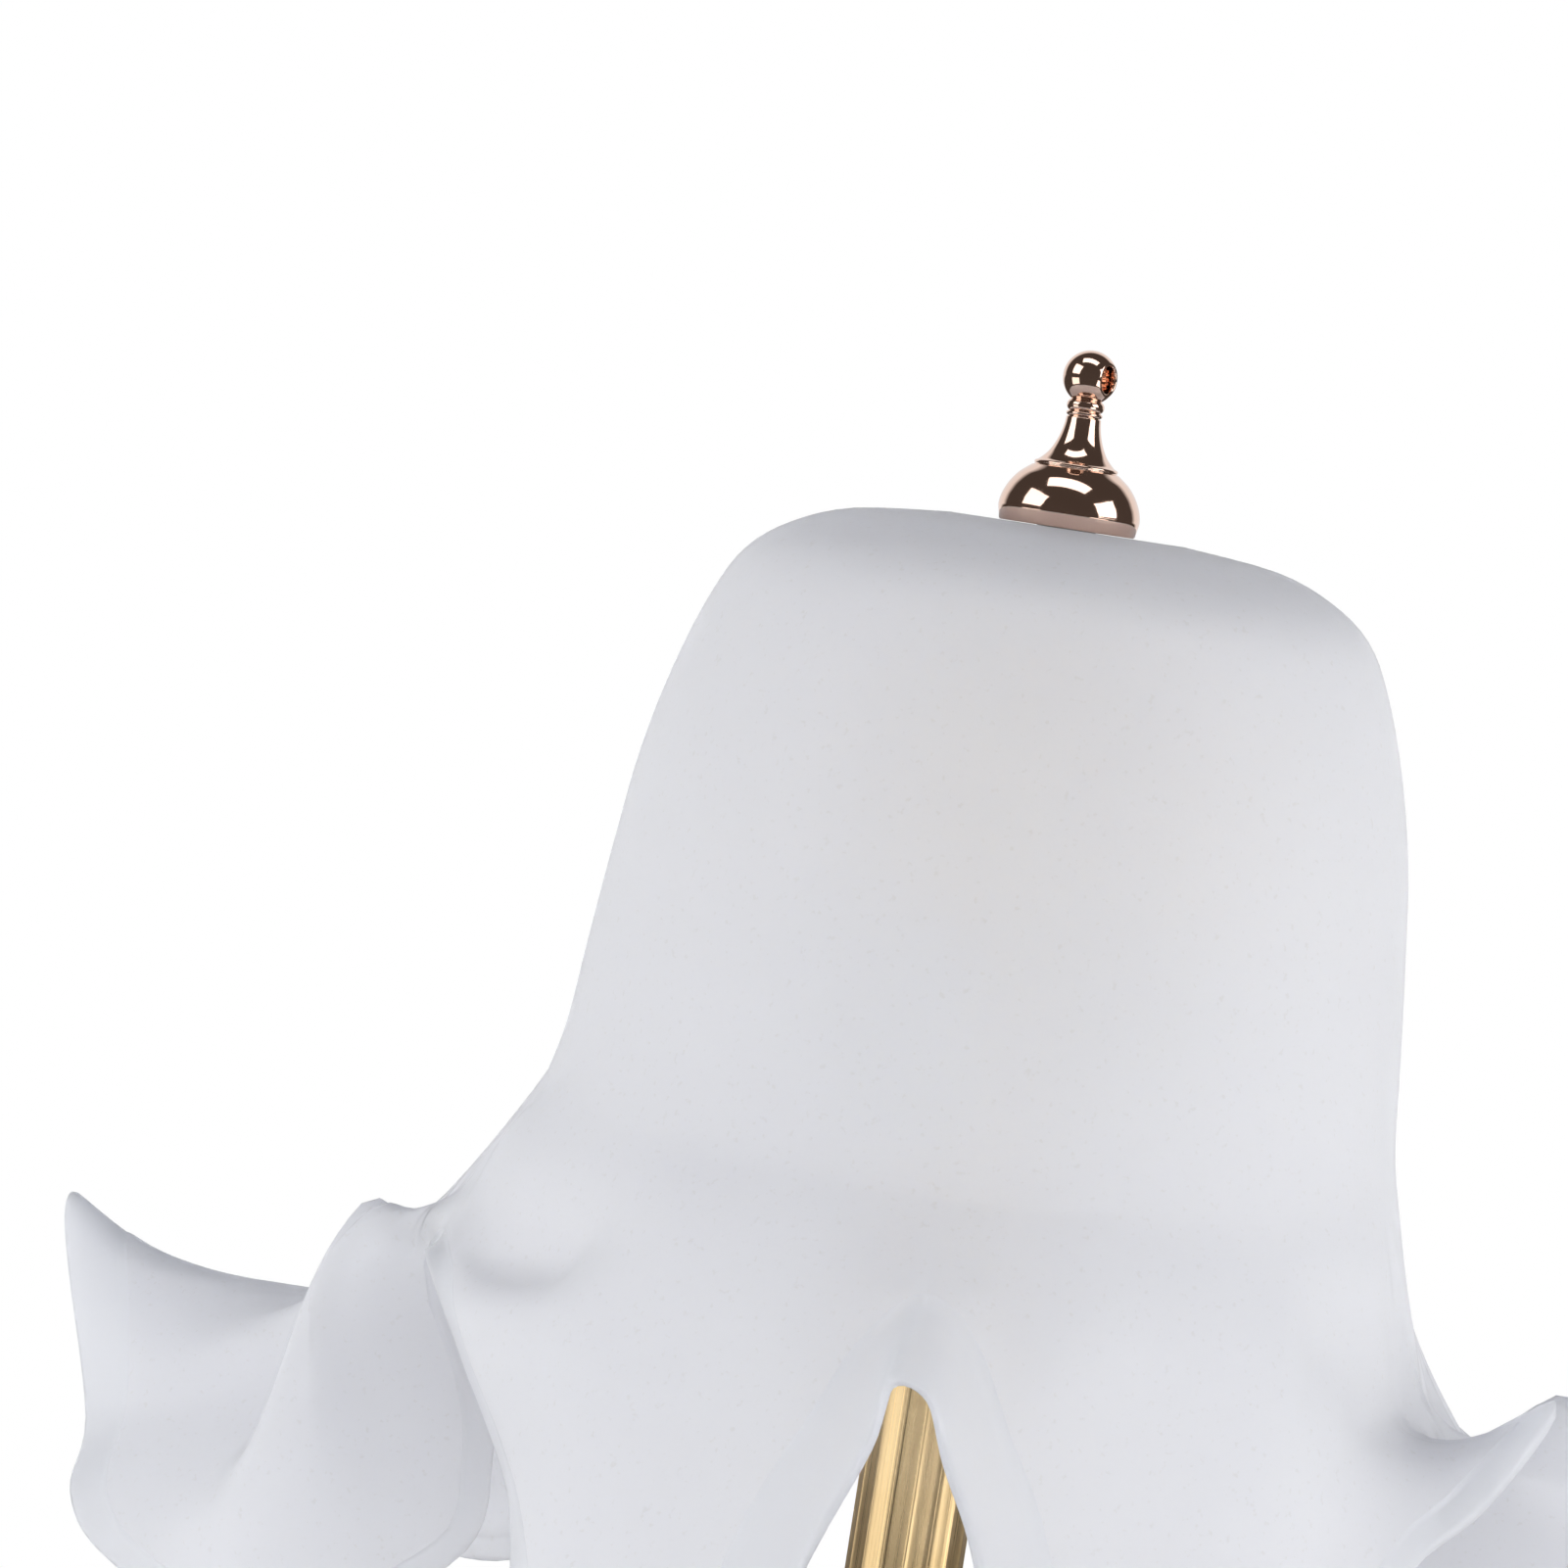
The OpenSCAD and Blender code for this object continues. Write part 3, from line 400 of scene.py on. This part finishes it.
pointer.data.transform(Matrix.Translation(((low.x + high.x) / 2, (low.y + high.y) / 2, high.z))
                       @ Matrix.Rotation(OFF_TURN, 4, "Z"))
pointer.data.update()
pointer.data.materials.append(black_nylon)
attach(pointer, "dimmer_control")

# Inlet bush: black nylon, set in the side of the base, where a mains cable would enter
keep_shape("inlet_bush", black_nylon)

# Column: a brass tube with sixteen shallow flutes, flat at the bottom between narrow ridges, and
# brushed along its length. It stands on a turned foot, and a turned cap closes its upper end.
brushed_brass = brass_look("brushed_brass", False)
COLUMN_R = 10
FLUTES = 16
FLUTE_DEPTH = 0.32
PER_FLUTE = 12 * FINE
section = []
for i in range(FLUTES * PER_FLUTE):
    angle = 2 * math.pi * i / (FLUTES * PER_FLUTE)
    across = 2 * ((i % PER_FLUTE) / PER_FLUTE) - 1
    section.append((angle, COLUMN_R - FLUTE_DEPTH * (1 - across**4)))
column_low, column_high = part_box("column")
points = [(r * math.cos(a) / 1000, r * math.sin(a) / 1000, h)
          for h in (column_low.z, column_high.z) for a, r in section]
around_column = len(section)
faces = [(i, (i + 1) % around_column, around_column + (i + 1) % around_column, around_column + i)
         for i in range(around_column)]
column = new_piece("column_fluted", points, faces)
column.data.materials.append(brushed_brass)
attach(column, "lamp")
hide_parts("column")
for name in ("column_foot", "column_cap"):
    keep_shape(name, turned_brass)

# Lampholders: a brass hub with three arms, held on the rod by a nut. Each arm carries a brushed brass
# cup, held by a nut of its own, and each cup holds a socket of glazed ceramic.
ceramic, _ = plain_look("glazed_ceramic", (0.74, 0.71, 0.64), (0.84, 0.82, 0.77), 400, 0.15, (0.3, 0.5))
keep_shape("cluster_body", turned_brass)
keep_shape("cluster_nut", zinc_steel)
keep_shape("holder_nuts", zinc_steel)
for i in range(3):
    keep_shape(f"lampholder_cup_{i + 1}", brushed_brass)
    keep_shape(f"lamp_socket_{i + 1}", ceramic)


# Turned and moulded round pieces: a profile of [radius, height] in millimetres, smoothed by a spline
# where it is rounded, and swept round
def spline(a, b, c, d, f):
    return 0.5 * (2 * b + (c - a) * f + (2 * a - 5 * b + 4 * c - d) * f**2 + (3 * b - a - 3 * c + d) * f**3)


def smooth_line(knots, steps):
    knots = np.array(knots, float)
    wide = np.concatenate([knots[:1], knots, knots[-1:]])
    made = [spline(*wide[i:i + 4], k / steps) for i in range(len(knots) - 1) for k in range(steps)]
    return np.array(made + [knots[-1]])


def lathe(name, profile, sides, closed=False):
    profile = np.array(profile, float) / 1000
    angles = np.linspace(0, 2 * math.pi, sides, endpoint=False)
    points = [(r * math.cos(a), r * math.sin(a), h) for r, h in profile for a in angles]
    faces = []
    spans = len(profile) if closed else len(profile) - 1
    for j in range(spans):
        n = (j + 1) % len(profile)
        for i in range(sides):
            k = (i + 1) % sides
            faces.append((j * sides + i, j * sides + k, n * sides + k, n * sides + i))
    return new_piece(name, points, faces)


# Bulbs: three small capsules, each with a milky cover, a ceramic base ribbed for grip and two steel
# pins with rounded ends that plug into the socket
milky, shader = plain_look("milky_cover", (0.86, 0.84, 0.77), (0.92, 0.9, 0.83), 500, 0.08, (0.25, 0.4))
shader.inputs["Subsurface Weight"].default_value = 0.7
shader.inputs["Subsurface Radius"].default_value = (0.004, 0.004, 0.003)
shader.inputs["Subsurface Scale"].default_value = 1.0
LAMP_TURN = -16
LAMP_STEP = 120
PIN_OFF = 4.5
PIN_FOOT = 46
BULB_R = 8
RIBS = 18
RIB_DEPTH = 0.02
RIBBED_ABOVE = 33.9
RIBBED_BEYOND = 6.2
cover_line = [[BULB_R * math.sin(a), BULB_R - BULB_R * math.cos(a)]
              for a in np.linspace(0.01, math.pi / 2, 10 * FINE)]
cover_line += [[BULB_R, 20], [BULB_R, 33], [7.85, 33.3], [7.5, 33.35]]
shoulder = [[7.5, 33.35], [7.85, 33.5], [BULB_R, 33.9], [7.6, 35.4], [6.4, 39], [6, 40.6]]
base_end = [[6, 45.4], [5.85, 45.8], [5.5, 46], [0.05, 46]]
base_line = np.concatenate([smooth_line(shoulder, 2 * FINE), base_end])
pin_line = [[0.8, -1], [0.8, 11.2], [0.66, 11.65], [0.4, 11.92], [0.05, 12]]
for i in range(3):
    low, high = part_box(f"bulb_{i + 1}")
    stand = Matrix.Translation(((low.x + high.x) / 2, (low.y + high.y) / 2, low.z))
    stand = stand @ Matrix.Rotation(math.radians(LAMP_TURN + LAMP_STEP * i), 4, "Z")
    cover = lathe(f"bulb_cover_{i + 1}", cover_line, 32 * FINE)
    cap = lathe(f"bulb_base_{i + 1}", base_line, 72 * FINE)
    for vertex in cap.data.vertices:
        flat = math.hypot(vertex.co.x, vertex.co.y)
        if flat > RIBBED_BEYOND / 1000 and vertex.co.z > RIBBED_ABOVE / 1000:
            rib = 1 - RIB_DEPTH * max(0, math.cos(RIBS * math.atan2(vertex.co.y, vertex.co.x)))
            vertex.co.x *= rib
            vertex.co.y *= rib
    pins = [lathe(f"bulb_pin_{i + 1}_{side}", pin_line, 16 * FINE) for side in ("left", "right")]
    for pin, way in zip(pins, (-1, 1)):
        pin.data.transform(Matrix.Translation((way * PIN_OFF / 1000, 0, PIN_FOOT / 1000)))
    for piece, look, slot in [(cover, milky, "bulb_cover"), (cap, ceramic, "bulb_cover"),
                              (pins[0], zinc_steel, "zinc_steel"), (pins[1], zinc_steel, "zinc_steel")]:
        piece.data.transform(stand)
        piece.data.update()
        piece.data.materials.append(look)
        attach(piece, f"capsule_bulb_{i + 1}")
        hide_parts(f"bulb_{i + 1}")

# Glass rest: a turned brass plate that carries the glass, with a collar that centres its hole, and the
# steel nut that holds the plate on the rod
keep_shape("rest_plate", turned_brass)
keep_shape("rest_nut", zinc_steel)

# Gaskets: rings of clear silicone on both faces of the glass, so that no metal presses on it
silicone, shader = plain_look("clear_silicone", (0.72, 0.73, 0.74), (0.8, 0.81, 0.82), 300, 0.1, (0.35, 0.5))
shader.inputs["Subsurface Weight"].default_value = 0.4
shader.inputs["Subsurface Radius"].default_value = (0.001, 0.001, 0.001)
keep_shape("lower_gasket", silicone)
keep_shape("upper_gasket", silicone)


# Shade: a bell of opal glass, slumped into five petals and acid etched to satin, so partly clear to the
# light. Its top has a hole for the rod, and the finial holds it between the gaskets.
def opal_glass(name, scale, height, rough):
    made, nodes, links, shader = new_material(name)
    shader.inputs["IOR"].default_value = 1.45
    shader.inputs["Transmission Weight"].default_value = 0.45
    shader.inputs["Subsurface Weight"].default_value = 0.8
    shader.inputs["Subsurface Radius"].default_value = (0.014, 0.014, 0.0145)
    shader.inputs["Subsurface Scale"].default_value = 1.0
    grain = add_grain(nodes, links, shader, scale, height, rough)
    return made, nodes, links, shader, grain


# The grain's lowest spots make the faint speckle on the faces
satin_glass, nodes, links, shader, grain = opal_glass("satin_glass", 900, 0.12, (0.5, 0.68))
specks = two_tones(nodes, 0.3, (0.85, 0.85, 0.87), 0.38, (0.905, 0.912, 0.955))
links.new(grain.outputs["Fac"], specks.inputs["Fac"])
links.new(specks.outputs["Color"], shader.inputs["Base Color"])

# Ground edge: the bevel along the petals, cut after etching, so smoother, bluer and without speckle
ground_edge, _, _, shader, _ = opal_glass("ground_edge", 1400, 0.08, (0.4, 0.55))
shader.inputs["Base Color"].default_value = (0.895, 0.912, 0.965, 1)

# The bell is given as [radius, drop] from its flat top to its waist, in millimetres. From there, lines
# run down the petals, each through five points as [turn, radius, drop]. They are the CAD's lines, some
# moved by up to 5 mm to follow the photo's outline. The bevel's steps are [distance from the rim,
# glass taken off the outer face].
GLASS_TOP = 420
GLASS_WALL = 4.5
HOLE_R = 7
HOLE_EDGE = 0.4
FLAT_R = 14
PETAL_TURN = -3
BEVEL_STEPS = [[11.5, 0], [11.0, 0.3], [9.3, 0.36], [7, 0.42], [4.7, 0.48], [2.6, 0.54], [0.9, 0.65]]
EDGE_OUT = 1.1
EDGE_WALL = 1.5
BELL = [[20, 0], [36, 1.8], [46, 5.6], [53, 11], [57.5, 19], [62, 32], [65.5, 47], [67.5, 62], [69.5, 80],
        [71, 95], [73, 104]]
FRONT_LEFT = [
    [[0, 78.2, 110.5], [0, 83, 115], [-0.2, 88, 119.4], [-0.5, 93, 124.1], [-0.9, 98, 128.8]],
    [[-3.5, 78.4, 112], [-3.5, 83.6, 118], [-3.2, 88.3, 124.7], [-2.8, 93, 131.8], [-2.4, 97.5, 139.5]],
    [[-9, 78.6, 113], [-8.5, 84, 122], [-7.5, 89.5, 133], [-6.8, 94.5, 145.5], [-6.2, 98, 158.6]],
    [[-15, 79, 114], [-14, 84, 124], [-12, 90, 140], [-10.5, 97, 160], [-9, 104, 182]],
    [[-22, 79, 115], [-21, 84, 127], [-20, 90, 147], [-18.5, 99, 173], [-17, 112, 203]],
    [[-30, 79, 115], [-30, 84, 128], [-29.5, 90, 148], [-28.5, 96, 172], [-28, 104, 198]],
    [[-38, 77.5, 113], [-39, 80.5, 122], [-39, 87, 138], [-38.5, 90, 160], [-38, 92, 184]],
    [[-46, 77, 116], [-47, 79.5, 128.5], [-48, 86, 136], [-48, 88, 150], [-47.5, 84, 167]],
    [[-55, 77.5, 117], [-57, 80, 131.5], [-58.5, 86, 136.5], [-59, 88, 142], [-59, 87, 149]],
    [[-63.5, 78.5, 117], [-64.5, 81.5, 130.5], [-65.5, 86, 135], [-66, 88, 138], [-66, 89, 141]],
]
FRONT_RIGHT = [
    [[-288, 76, 113], [-288, 79, 126], [-288, 83, 136.5], [-288, 94, 135.7], [-288, 106.5, 125.6]],
    [[-293, 76, 112], [-293.5, 79, 124], [-293.5, 82.5, 135], [-294, 91, 139.5], [-294, 101, 143]],
    [[-299, 76, 112], [-300, 78.5, 123], [-300, 81.5, 133], [-300.5, 88, 142], [-300.5, 96, 154]],
    [[-307, 76, 111], [-308, 79, 122], [-309, 84.5, 132], [-309.5, 90.5, 150], [-310, 97, 170]],
    [[-315, 77, 112], [-316.5, 83, 123], [-317.5, 89, 139], [-318, 94, 161], [-319, 102, 186]],
    [[-323, 79, 115], [-325, 84, 127], [-326, 90, 146], [-327, 97, 171], [-328, 108, 198]],
    [[-331, 79, 115], [-333, 84, 127], [-334.5, 90, 147], [-336, 99, 173], [-338, 113, 204]],
    [[-339.5, 79, 114], [-342, 84.5, 124], [-344, 90, 140], [-346, 97, 160], [-347, 104, 180]],
    [[-348, 78.6, 113], [-349, 84, 121.7], [-349.5, 89.3, 131.8], [-350, 94, 142.5], [-350, 98, 155]],
    [[-354, 78.4, 112], [-354, 83.7, 117.5], [-354, 88.5, 124], [-354, 93, 131.5], [-354, 97.5, 140]],
    [[-357.6, 78.2, 110.5], [-357.6, 83, 115.2], [-357.5, 88, 119.9], [-357.2, 93, 124.9],
     [-356.8, 98, 130]],
]
RAISED = [
    [[0, 79, 114], [0, 82.5, 124], [0, 86, 130.5], [0, 88.5, 133], [0, 91, 134.5]],
    [[-3, 79.5, 115], [-3.5, 83.5, 124.5], [-4.5, 87, 130.5], [-5.5, 87, 136], [-6.5, 84.5, 142]],
    [[-6, 80.5, 117], [-7, 85, 126], [-8, 90.5, 131.5], [-9, 88, 145], [-12, 76, 158]],
    [[-10, 82.5, 121], [-10, 87.5, 130], [-10, 94.5, 132.5], [-11, 98.5, 151], [-15, 73, 173]],
    [[-13, 84, 123.5], [-12, 90, 132.2], [-12, 98.5, 132.2], [-12.5, 106, 153.5], [-15, 75, 190]],
    [[-16, 85, 125], [-14, 91, 133.4], [-13.5, 99.9, 132.8], [-13, 107.7, 155], [-14, 97, 206]],
    [[-19, 86, 126], [-17, 93, 134], [-16, 102.3, 134], [-16, 111, 159.5], [-16, 121, 209]],
    [[-22, 86.5, 127.5], [-21.5, 95, 139], [-22, 102, 147], [-24, 107, 166], [-20, 141.5, 203.5]],
    [[-26, 86, 129.5], [-26, 99.5, 146], [-26, 112, 154], [-26.5, 125, 174], [-23.5, 151.5, 196]],
    [[-30, 85.5, 131.5], [-30, 103.5, 153], [-29.5, 123, 160], [-29, 141, 173], [-29, 156.5, 186]],
    [[-33, 85.5, 132.5], [-33, 109, 154.5], [-33, 130, 160], [-33, 151, 164], [-33, 169.8, 163]],
    [[-34.6, 85.5, 132.5], [-34.6, 110.5, 154], [-34.6, 133.5, 158.8], [-34.6, 156, 159],
     [-34.6, 174.8, 153.5]],
    [[-36, 85.5, 132.5], [-36, 111, 154], [-36, 134, 158.5], [-36, 157.5, 157.3], [-36, 176, 149.5]],
]
RAISED_RIGHT = [
    [[-3, 76, 114], [-3.5, 79.5, 127], [-4.5, 83.5, 137], [-5.5, 88, 140], [-6.5, 87, 145]],
    [[-6, 77.5, 117], [-7, 81.5, 130], [-8, 87, 139], [-9, 91, 146], [-12, 80, 160]],
    [[-10, 78.5, 121], [-10, 83.5, 134.5], [-10, 95, 141], [-11, 102, 149], [-15, 74, 175]],
    [[-13, 79, 124], [-12, 85.5, 139], [-12, 101, 138], [-12.5, 110, 151], [-15, 75, 190]],
    [[-16, 79.5, 126.5], [-14, 88, 143], [-13.5, 105, 130.5], [-13.5, 115.5, 151], [-14, 97, 206]],
    [[-19, 80, 127.5], [-17, 90, 145], [-16, 107, 131], [-16, 117.5, 156], [-16, 121, 209]],
    [[-22, 80.5, 128.5], [-21.5, 92, 147], [-22, 106, 141.5], [-24, 111, 165], [-20, 134, 207]],
    [[-26, 82, 130], [-26, 97, 149], [-26, 112, 153], [-26.5, 125, 174], [-23.5, 150, 197]],
    [[-30, 83.5, 131.5], [-30, 101, 153.5], [-29.5, 123, 158], [-29, 140, 171], [-29, 157, 184]],
]

# A petal goes out by RAISED and comes back by its mirror image, with by_gutter for the rows next to
# the following gutter. The sag lowers the second point of the rows in the petal's middle.
PETAL_STEP = 72
MIDDLE_FROM = 9


def raised_petal(start, by_gutter, sag=0):
    rows = [[[t, r, d + (sag if k == 1 and i >= MIDDLE_FROM else 0)] for k, (t, r, d) in enumerate(row)]
            for i, row in enumerate(RAISED)]
    there = [[[start + t, r, d] for t, r, d in row] for row in rows]
    back = []
    for i in range(len(rows) - 2, 0, -1):
        row = by_gutter[i - 1] if i <= len(by_gutter) else rows[i]
        back.append([[start - PETAL_STEP - t, r, d] for t, r, d in row])
    return there + back


stations = (
    FRONT_LEFT
    + raised_petal(-PETAL_STEP, RAISED[1:10])
    + raised_petal(-2 * PETAL_STEP, RAISED[1:10])
    + raised_petal(-3 * PETAL_STEP, RAISED_RIGHT, sag=5)
    + FRONT_RIGHT
)


# The lines between the stations come from splines round the glass, then down it
def on_turn(turn, r, drop):
    angle = np.radians(turn)
    return np.stack([r * np.sin(angle), -r * np.cos(angle), -drop + 0 * angle], axis=-1)


rows = np.array(stations, float)
BETWEEN = 3 * FINE
turns = rows[:, 0, 0]
wrapped = np.concatenate([[turns[-1] + 360], turns, [turns[0] - 360, turns[1] - 360]])
knots = on_turn(rows[:, :, 0], rows[:, :, 1], rows[:, :, 2])
ring_of_knots = np.concatenate([knots[-1:], knots, knots[:2]])
bell_turns = []
flare_knots = []
for i in range(len(rows)):
    for k in range(BETWEEN):
        f = k / BETWEEN
        bell_turns.append(spline(*wrapped[i:i + 4], f))
        flare_knots.append(spline(*ring_of_knots[i:i + 4], f))
bell_turns = np.array(bell_turns)
flare_knots = np.array(flare_knots)
around = len(bell_turns)

bell = np.array(BELL, float)
padded = np.concatenate([bell[:1], bell, bell[-1:]])
bell_line = [spline(*padded[i:i + 4], k / (2 * FINE)) for i in range(len(bell) - 1) for k in range(2 * FINE)]
bell_line = np.array(bell_line + [bell[-1]])
bell_part = np.stack([on_turn(bell_turns, r, drop) for r, drop in bell_line], axis=1)
before = on_turn(bell_turns, bell[-2][0], bell[-2][1])[:, None]
waist = on_turn(bell_turns, bell[-1][0], bell[-1][1])[:, None]
line = np.concatenate([before, waist, flare_knots, flare_knots[:, -1:]], axis=1)
SAMPLES = 24
flare = [spline(line[:, j - 1], line[:, j], line[:, j + 1], line[:, j + 2], k / SAMPLES)
         for j in range(1, line.shape[1] - 2) for k in range(SAMPLES)]
flare = np.stack(flare + [flare_knots[:, -1]], axis=1)

# Every line is divided again so that the last rings follow the cut edge, at the distances that the
# bevel's steps give. The band is narrower in the gutters between the raised petals and wider over the
# notch in front.
edge = flare[:, -1]
finder = kdtree.KDTree(2 * around)
for i in range(around):
    finder.insert(edge[i], 2 * i)
    finder.insert((edge[i] + edge[(i + 1) % around]) / 2, 2 * i + 1)
finder.balance()
ABOVE = 18 * FINE
BEVEL = len(BEVEL_STEPS)
GUTTER_BAND = 0.45
NARROW_TO = 19
FULL_FROM = 33
NOTCH_BAND = 0.42
NOTCH_AT = 2
NOTCH_SPREAD = 6
gutters = [-PETAL_STEP * petal for petal in (1, 2, 3, 4)]
from_gutter = np.min([np.abs(bell_turns - gutter) for gutter in gutters], axis=0)
ease = np.clip((from_gutter - NARROW_TO) / (FULL_FROM - NARROW_TO), 0, 1)
band_width = GUTTER_BAND + (1 - GUTTER_BAND) * ease**2 * (3 - 2 * ease)
from_notch = (bell_turns + 180) % 360 - 180
band_width *= 1 + NOTCH_BAND * np.exp(-((from_notch - NOTCH_AT) / NOTCH_SPREAD)**2)
new_flare = np.zeros((around, ABOVE + BEVEL + 1, 3))
for i in range(around):
    run = flare[i]
    steps = np.linalg.norm(np.diff(run, axis=0), axis=1)
    along = np.concatenate([[0], np.cumsum(steps)])
    gap = np.array([finder.find(p)[2] for p in run])
    stops = []
    for level, _ in BEVEL_STEPS:
        reach = level * band_width[i]
        last = np.nonzero(gap >= reach)[0][-1]
        share = (gap[last] - reach) / max(gap[last] - gap[last + 1], 1e-6)
        stops.append(along[last] + share * (along[last + 1] - along[last]))
    spots = np.concatenate([np.linspace(0, stops[0], ABOVE, endpoint=False), stops, [along[-1]]])
    for axis in range(3):
        new_flare[i, :, axis] = np.interp(spots, along, run[:, axis])
hole_part = np.stack([on_turn(bell_turns, r, 0) for r in (HOLE_R, HOLE_R + HOLE_EDGE, FLAT_R)], axis=1)
outer = np.concatenate([hole_part, bell_part, new_flare[:, 1:]], axis=1)
deep = outer.shape[1]

# The inner face lies a glass wall inside the outer one, straight below it on the flat top. The bevel
# then takes glass off the outer face.
FLAT_RINGS = 4
round_it = np.roll(outer, -1, axis=0) - np.roll(outer, 1, axis=0)
next_down = np.concatenate([outer[:, 1:], outer[:, -1:]], axis=1)
down_it = next_down - np.concatenate([outer[:, :1], outer[:, :-1]], axis=1)
inward = np.cross(down_it, round_it)
inward /= np.linalg.norm(inward, axis=2, keepdims=True)
inward[:, :FLAT_RINGS] = (0, 0, -1)
for _ in range(2 * BETWEEN**2):
    eased = np.roll(inward, 1, axis=0) + 2 * inward + np.roll(inward, -1, axis=0)
    inward[:, FLAT_RINGS + 1:] = eased[:, FLAT_RINGS + 1:]
    inward /= np.linalg.norm(inward, axis=2, keepdims=True)
cut = np.zeros(deep)
cut[-BEVEL - 1:] = [depth for _, depth in BEVEL_STEPS] + [EDGE_OUT]
wall = np.full(deep, float(GLASS_WALL))
wall[-BEVEL - 1:] = np.linspace(GLASS_WALL, EDGE_OUT + EDGE_WALL, BEVEL + 1)
inner = outer + wall[None, :, None] * inward
outer = outer + cut[None, :, None] * inward
lip = [outer[:, -1] * (1 - f) + inner[:, -1] * f for f in (0.25, 0.5, 0.75)]
LIP_ROUNDING = 0.06
outer[:, -1] += LIP_ROUNDING * (outer[:, -2] - outer[:, -1])
inner[:, -1] += LIP_ROUNDING * (inner[:, -2] - inner[:, -1])
loops = [outer[:, j] for j in range(deep)] + lip + [inner[:, j] for j in range(deep - 1, -1, -1)]
points = np.concatenate(loops)

# The glass is turned to its place on the lamp, in metres, and kept inside the CAD's box. The ground
# look runs from the bevel round the lip to the first rings inside. Its start and the inner edge of
# the lip are crisp.
turn_back = math.radians(PETAL_TURN)
spun = np.stack([
    points[:, 0] * math.cos(turn_back) - points[:, 1] * math.sin(turn_back),
    points[:, 0] * math.sin(turn_back) + points[:, 1] * math.cos(turn_back),
    points[:, 2] + GLASS_TOP,
], axis=1) / 1000
low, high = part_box("shade")
spun = np.clip(spun, np.array(low), np.array(high))
faces = []
looks = []
rings = len(loops)
first_ground = deep - BEVEL - 1
last_lip = deep + len(lip) - 1
for j in range(rings):
    for i in range(around):
        k = (i + 1) % around
        n = (j + 1) % rings
        faces.append((j * around + i, j * around + k, n * around + k, n * around + i))
        looks.append(1 if first_ground <= j <= last_lip + 1 else 0)
shade = new_piece("satin_glass_shade", spun, faces)
shade.data.materials.append(satin_glass)
shade.data.materials.append(ground_edge)
shade.data.polygons.foreach_set("material_index", looks)
sharp = []
for side in shade.data.edges:
    start_ring = side.vertices[0] // around
    end_ring = side.vertices[1] // around
    sharp.append(start_ring == end_ring and start_ring in (first_ground, last_lip))
shade.data.attributes.new("sharp_edge", "BOOLEAN", "EDGE").data.foreach_set("value", sharp)
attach(shade, "glass_shade")
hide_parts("shade")

# Finial: a cap turned from brass and plated in rose gold, polished like a mirror with faint swirls, and
# screwed onto the rod. Its foot has the recess for the gasket, and the ball at its top is turned about
# its own eye.
rose_gold, nodes, links, shader = new_material("polished_rose_gold")
shader.inputs["Metallic"].default_value = 1
shader.inputs["Base Color"].default_value = (0.93, 0.67, 0.54, 1)
add_grain(nodes, links, shader, 500, 0.03, (0.04, 0.1))
FINIAL_FOOT = 420.39
BALL_R = 4.6
BALL_H = 25.4
EYE_R = 2.3
EYE_LIP = 0.35
EYE_TURN = 60
foot = [[5.05, 1.21], [9.8, 1.21], [9.8, 0], [10.6, 0], [11.0, -0.31], [11.35, -0.31], [11.6, -0.1],
        [11.95, 1.6], [12.02, 2.0]]
dome = [[12.05, 2.3], [11.95, 3.3], [11.55, 4.7], [10.65, 6.5], [9.3, 8.2], [7.5, 9.65]]
step = [[7.4, 9.72], [7.1, 9.8], [7.0, 9.95], [7.1, 10.1], [7.12, 10.35], [6.95, 10.55]]
cove = [[6.8, 10.6], [6.2, 11.0], [5.0, 12.3], [4.15, 13.8], [3.5, 15.5], [3.1, 17.2], [2.95, 18.5]]
ring = [[2.75, 18.6], [2.72, 18.75], [2.95, 18.85], [3.08, 19.05], [3.08, 19.25], [2.95, 19.45],
        [2.72, 19.55]]
bead = [[2.35 + 0.85 * math.cos(a), 20.55 + math.sin(a)] for a in np.linspace(-1.2, 1.2, 6 * FINE)]
collar = [[2.6, 21.6], [2.75, 21.8], [0.3, 22.4]]
finial_line = np.concatenate([foot, smooth_line(dome, 5 * FINE), step, smooth_line(cove, 4 * FINE),
                              ring, bead, collar])
finial = lathe("finial_turning", finial_line + [0, FINIAL_FOOT], 64 * FINE)
ball_edge = math.pi / 2 - math.asin((EYE_R + EYE_LIP) / BALL_R)
ball_side = [[BALL_R * math.cos(a), BALL_R * math.sin(a)]
             for a in np.linspace(ball_edge, -ball_edge, 12 * FINE)]
eye_h = ball_side[0][1]
eye_wall = [[EYE_R + 0.1, -eye_h + 0.12], [EYE_R, -eye_h + 0.4],
            [EYE_R, eye_h - 0.4], [EYE_R + 0.1, eye_h - 0.12]]
ball = lathe("finial_ball", ball_side + eye_wall, 40 * FINE, closed=True)
ball_place = Matrix.Translation((0, 0, (FINIAL_FOOT + BALL_H) / 1000))
ball_turn = Matrix.Rotation(math.radians(EYE_TURN), 4, "Z") @ Matrix.Rotation(math.radians(90), 4, "X")
ball.data.transform(ball_place @ ball_turn)
ball.data.update()
for piece in (finial, ball):
    piece.data.materials.append(rose_gold)
    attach(piece, "finial_cap")
    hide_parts("finial")
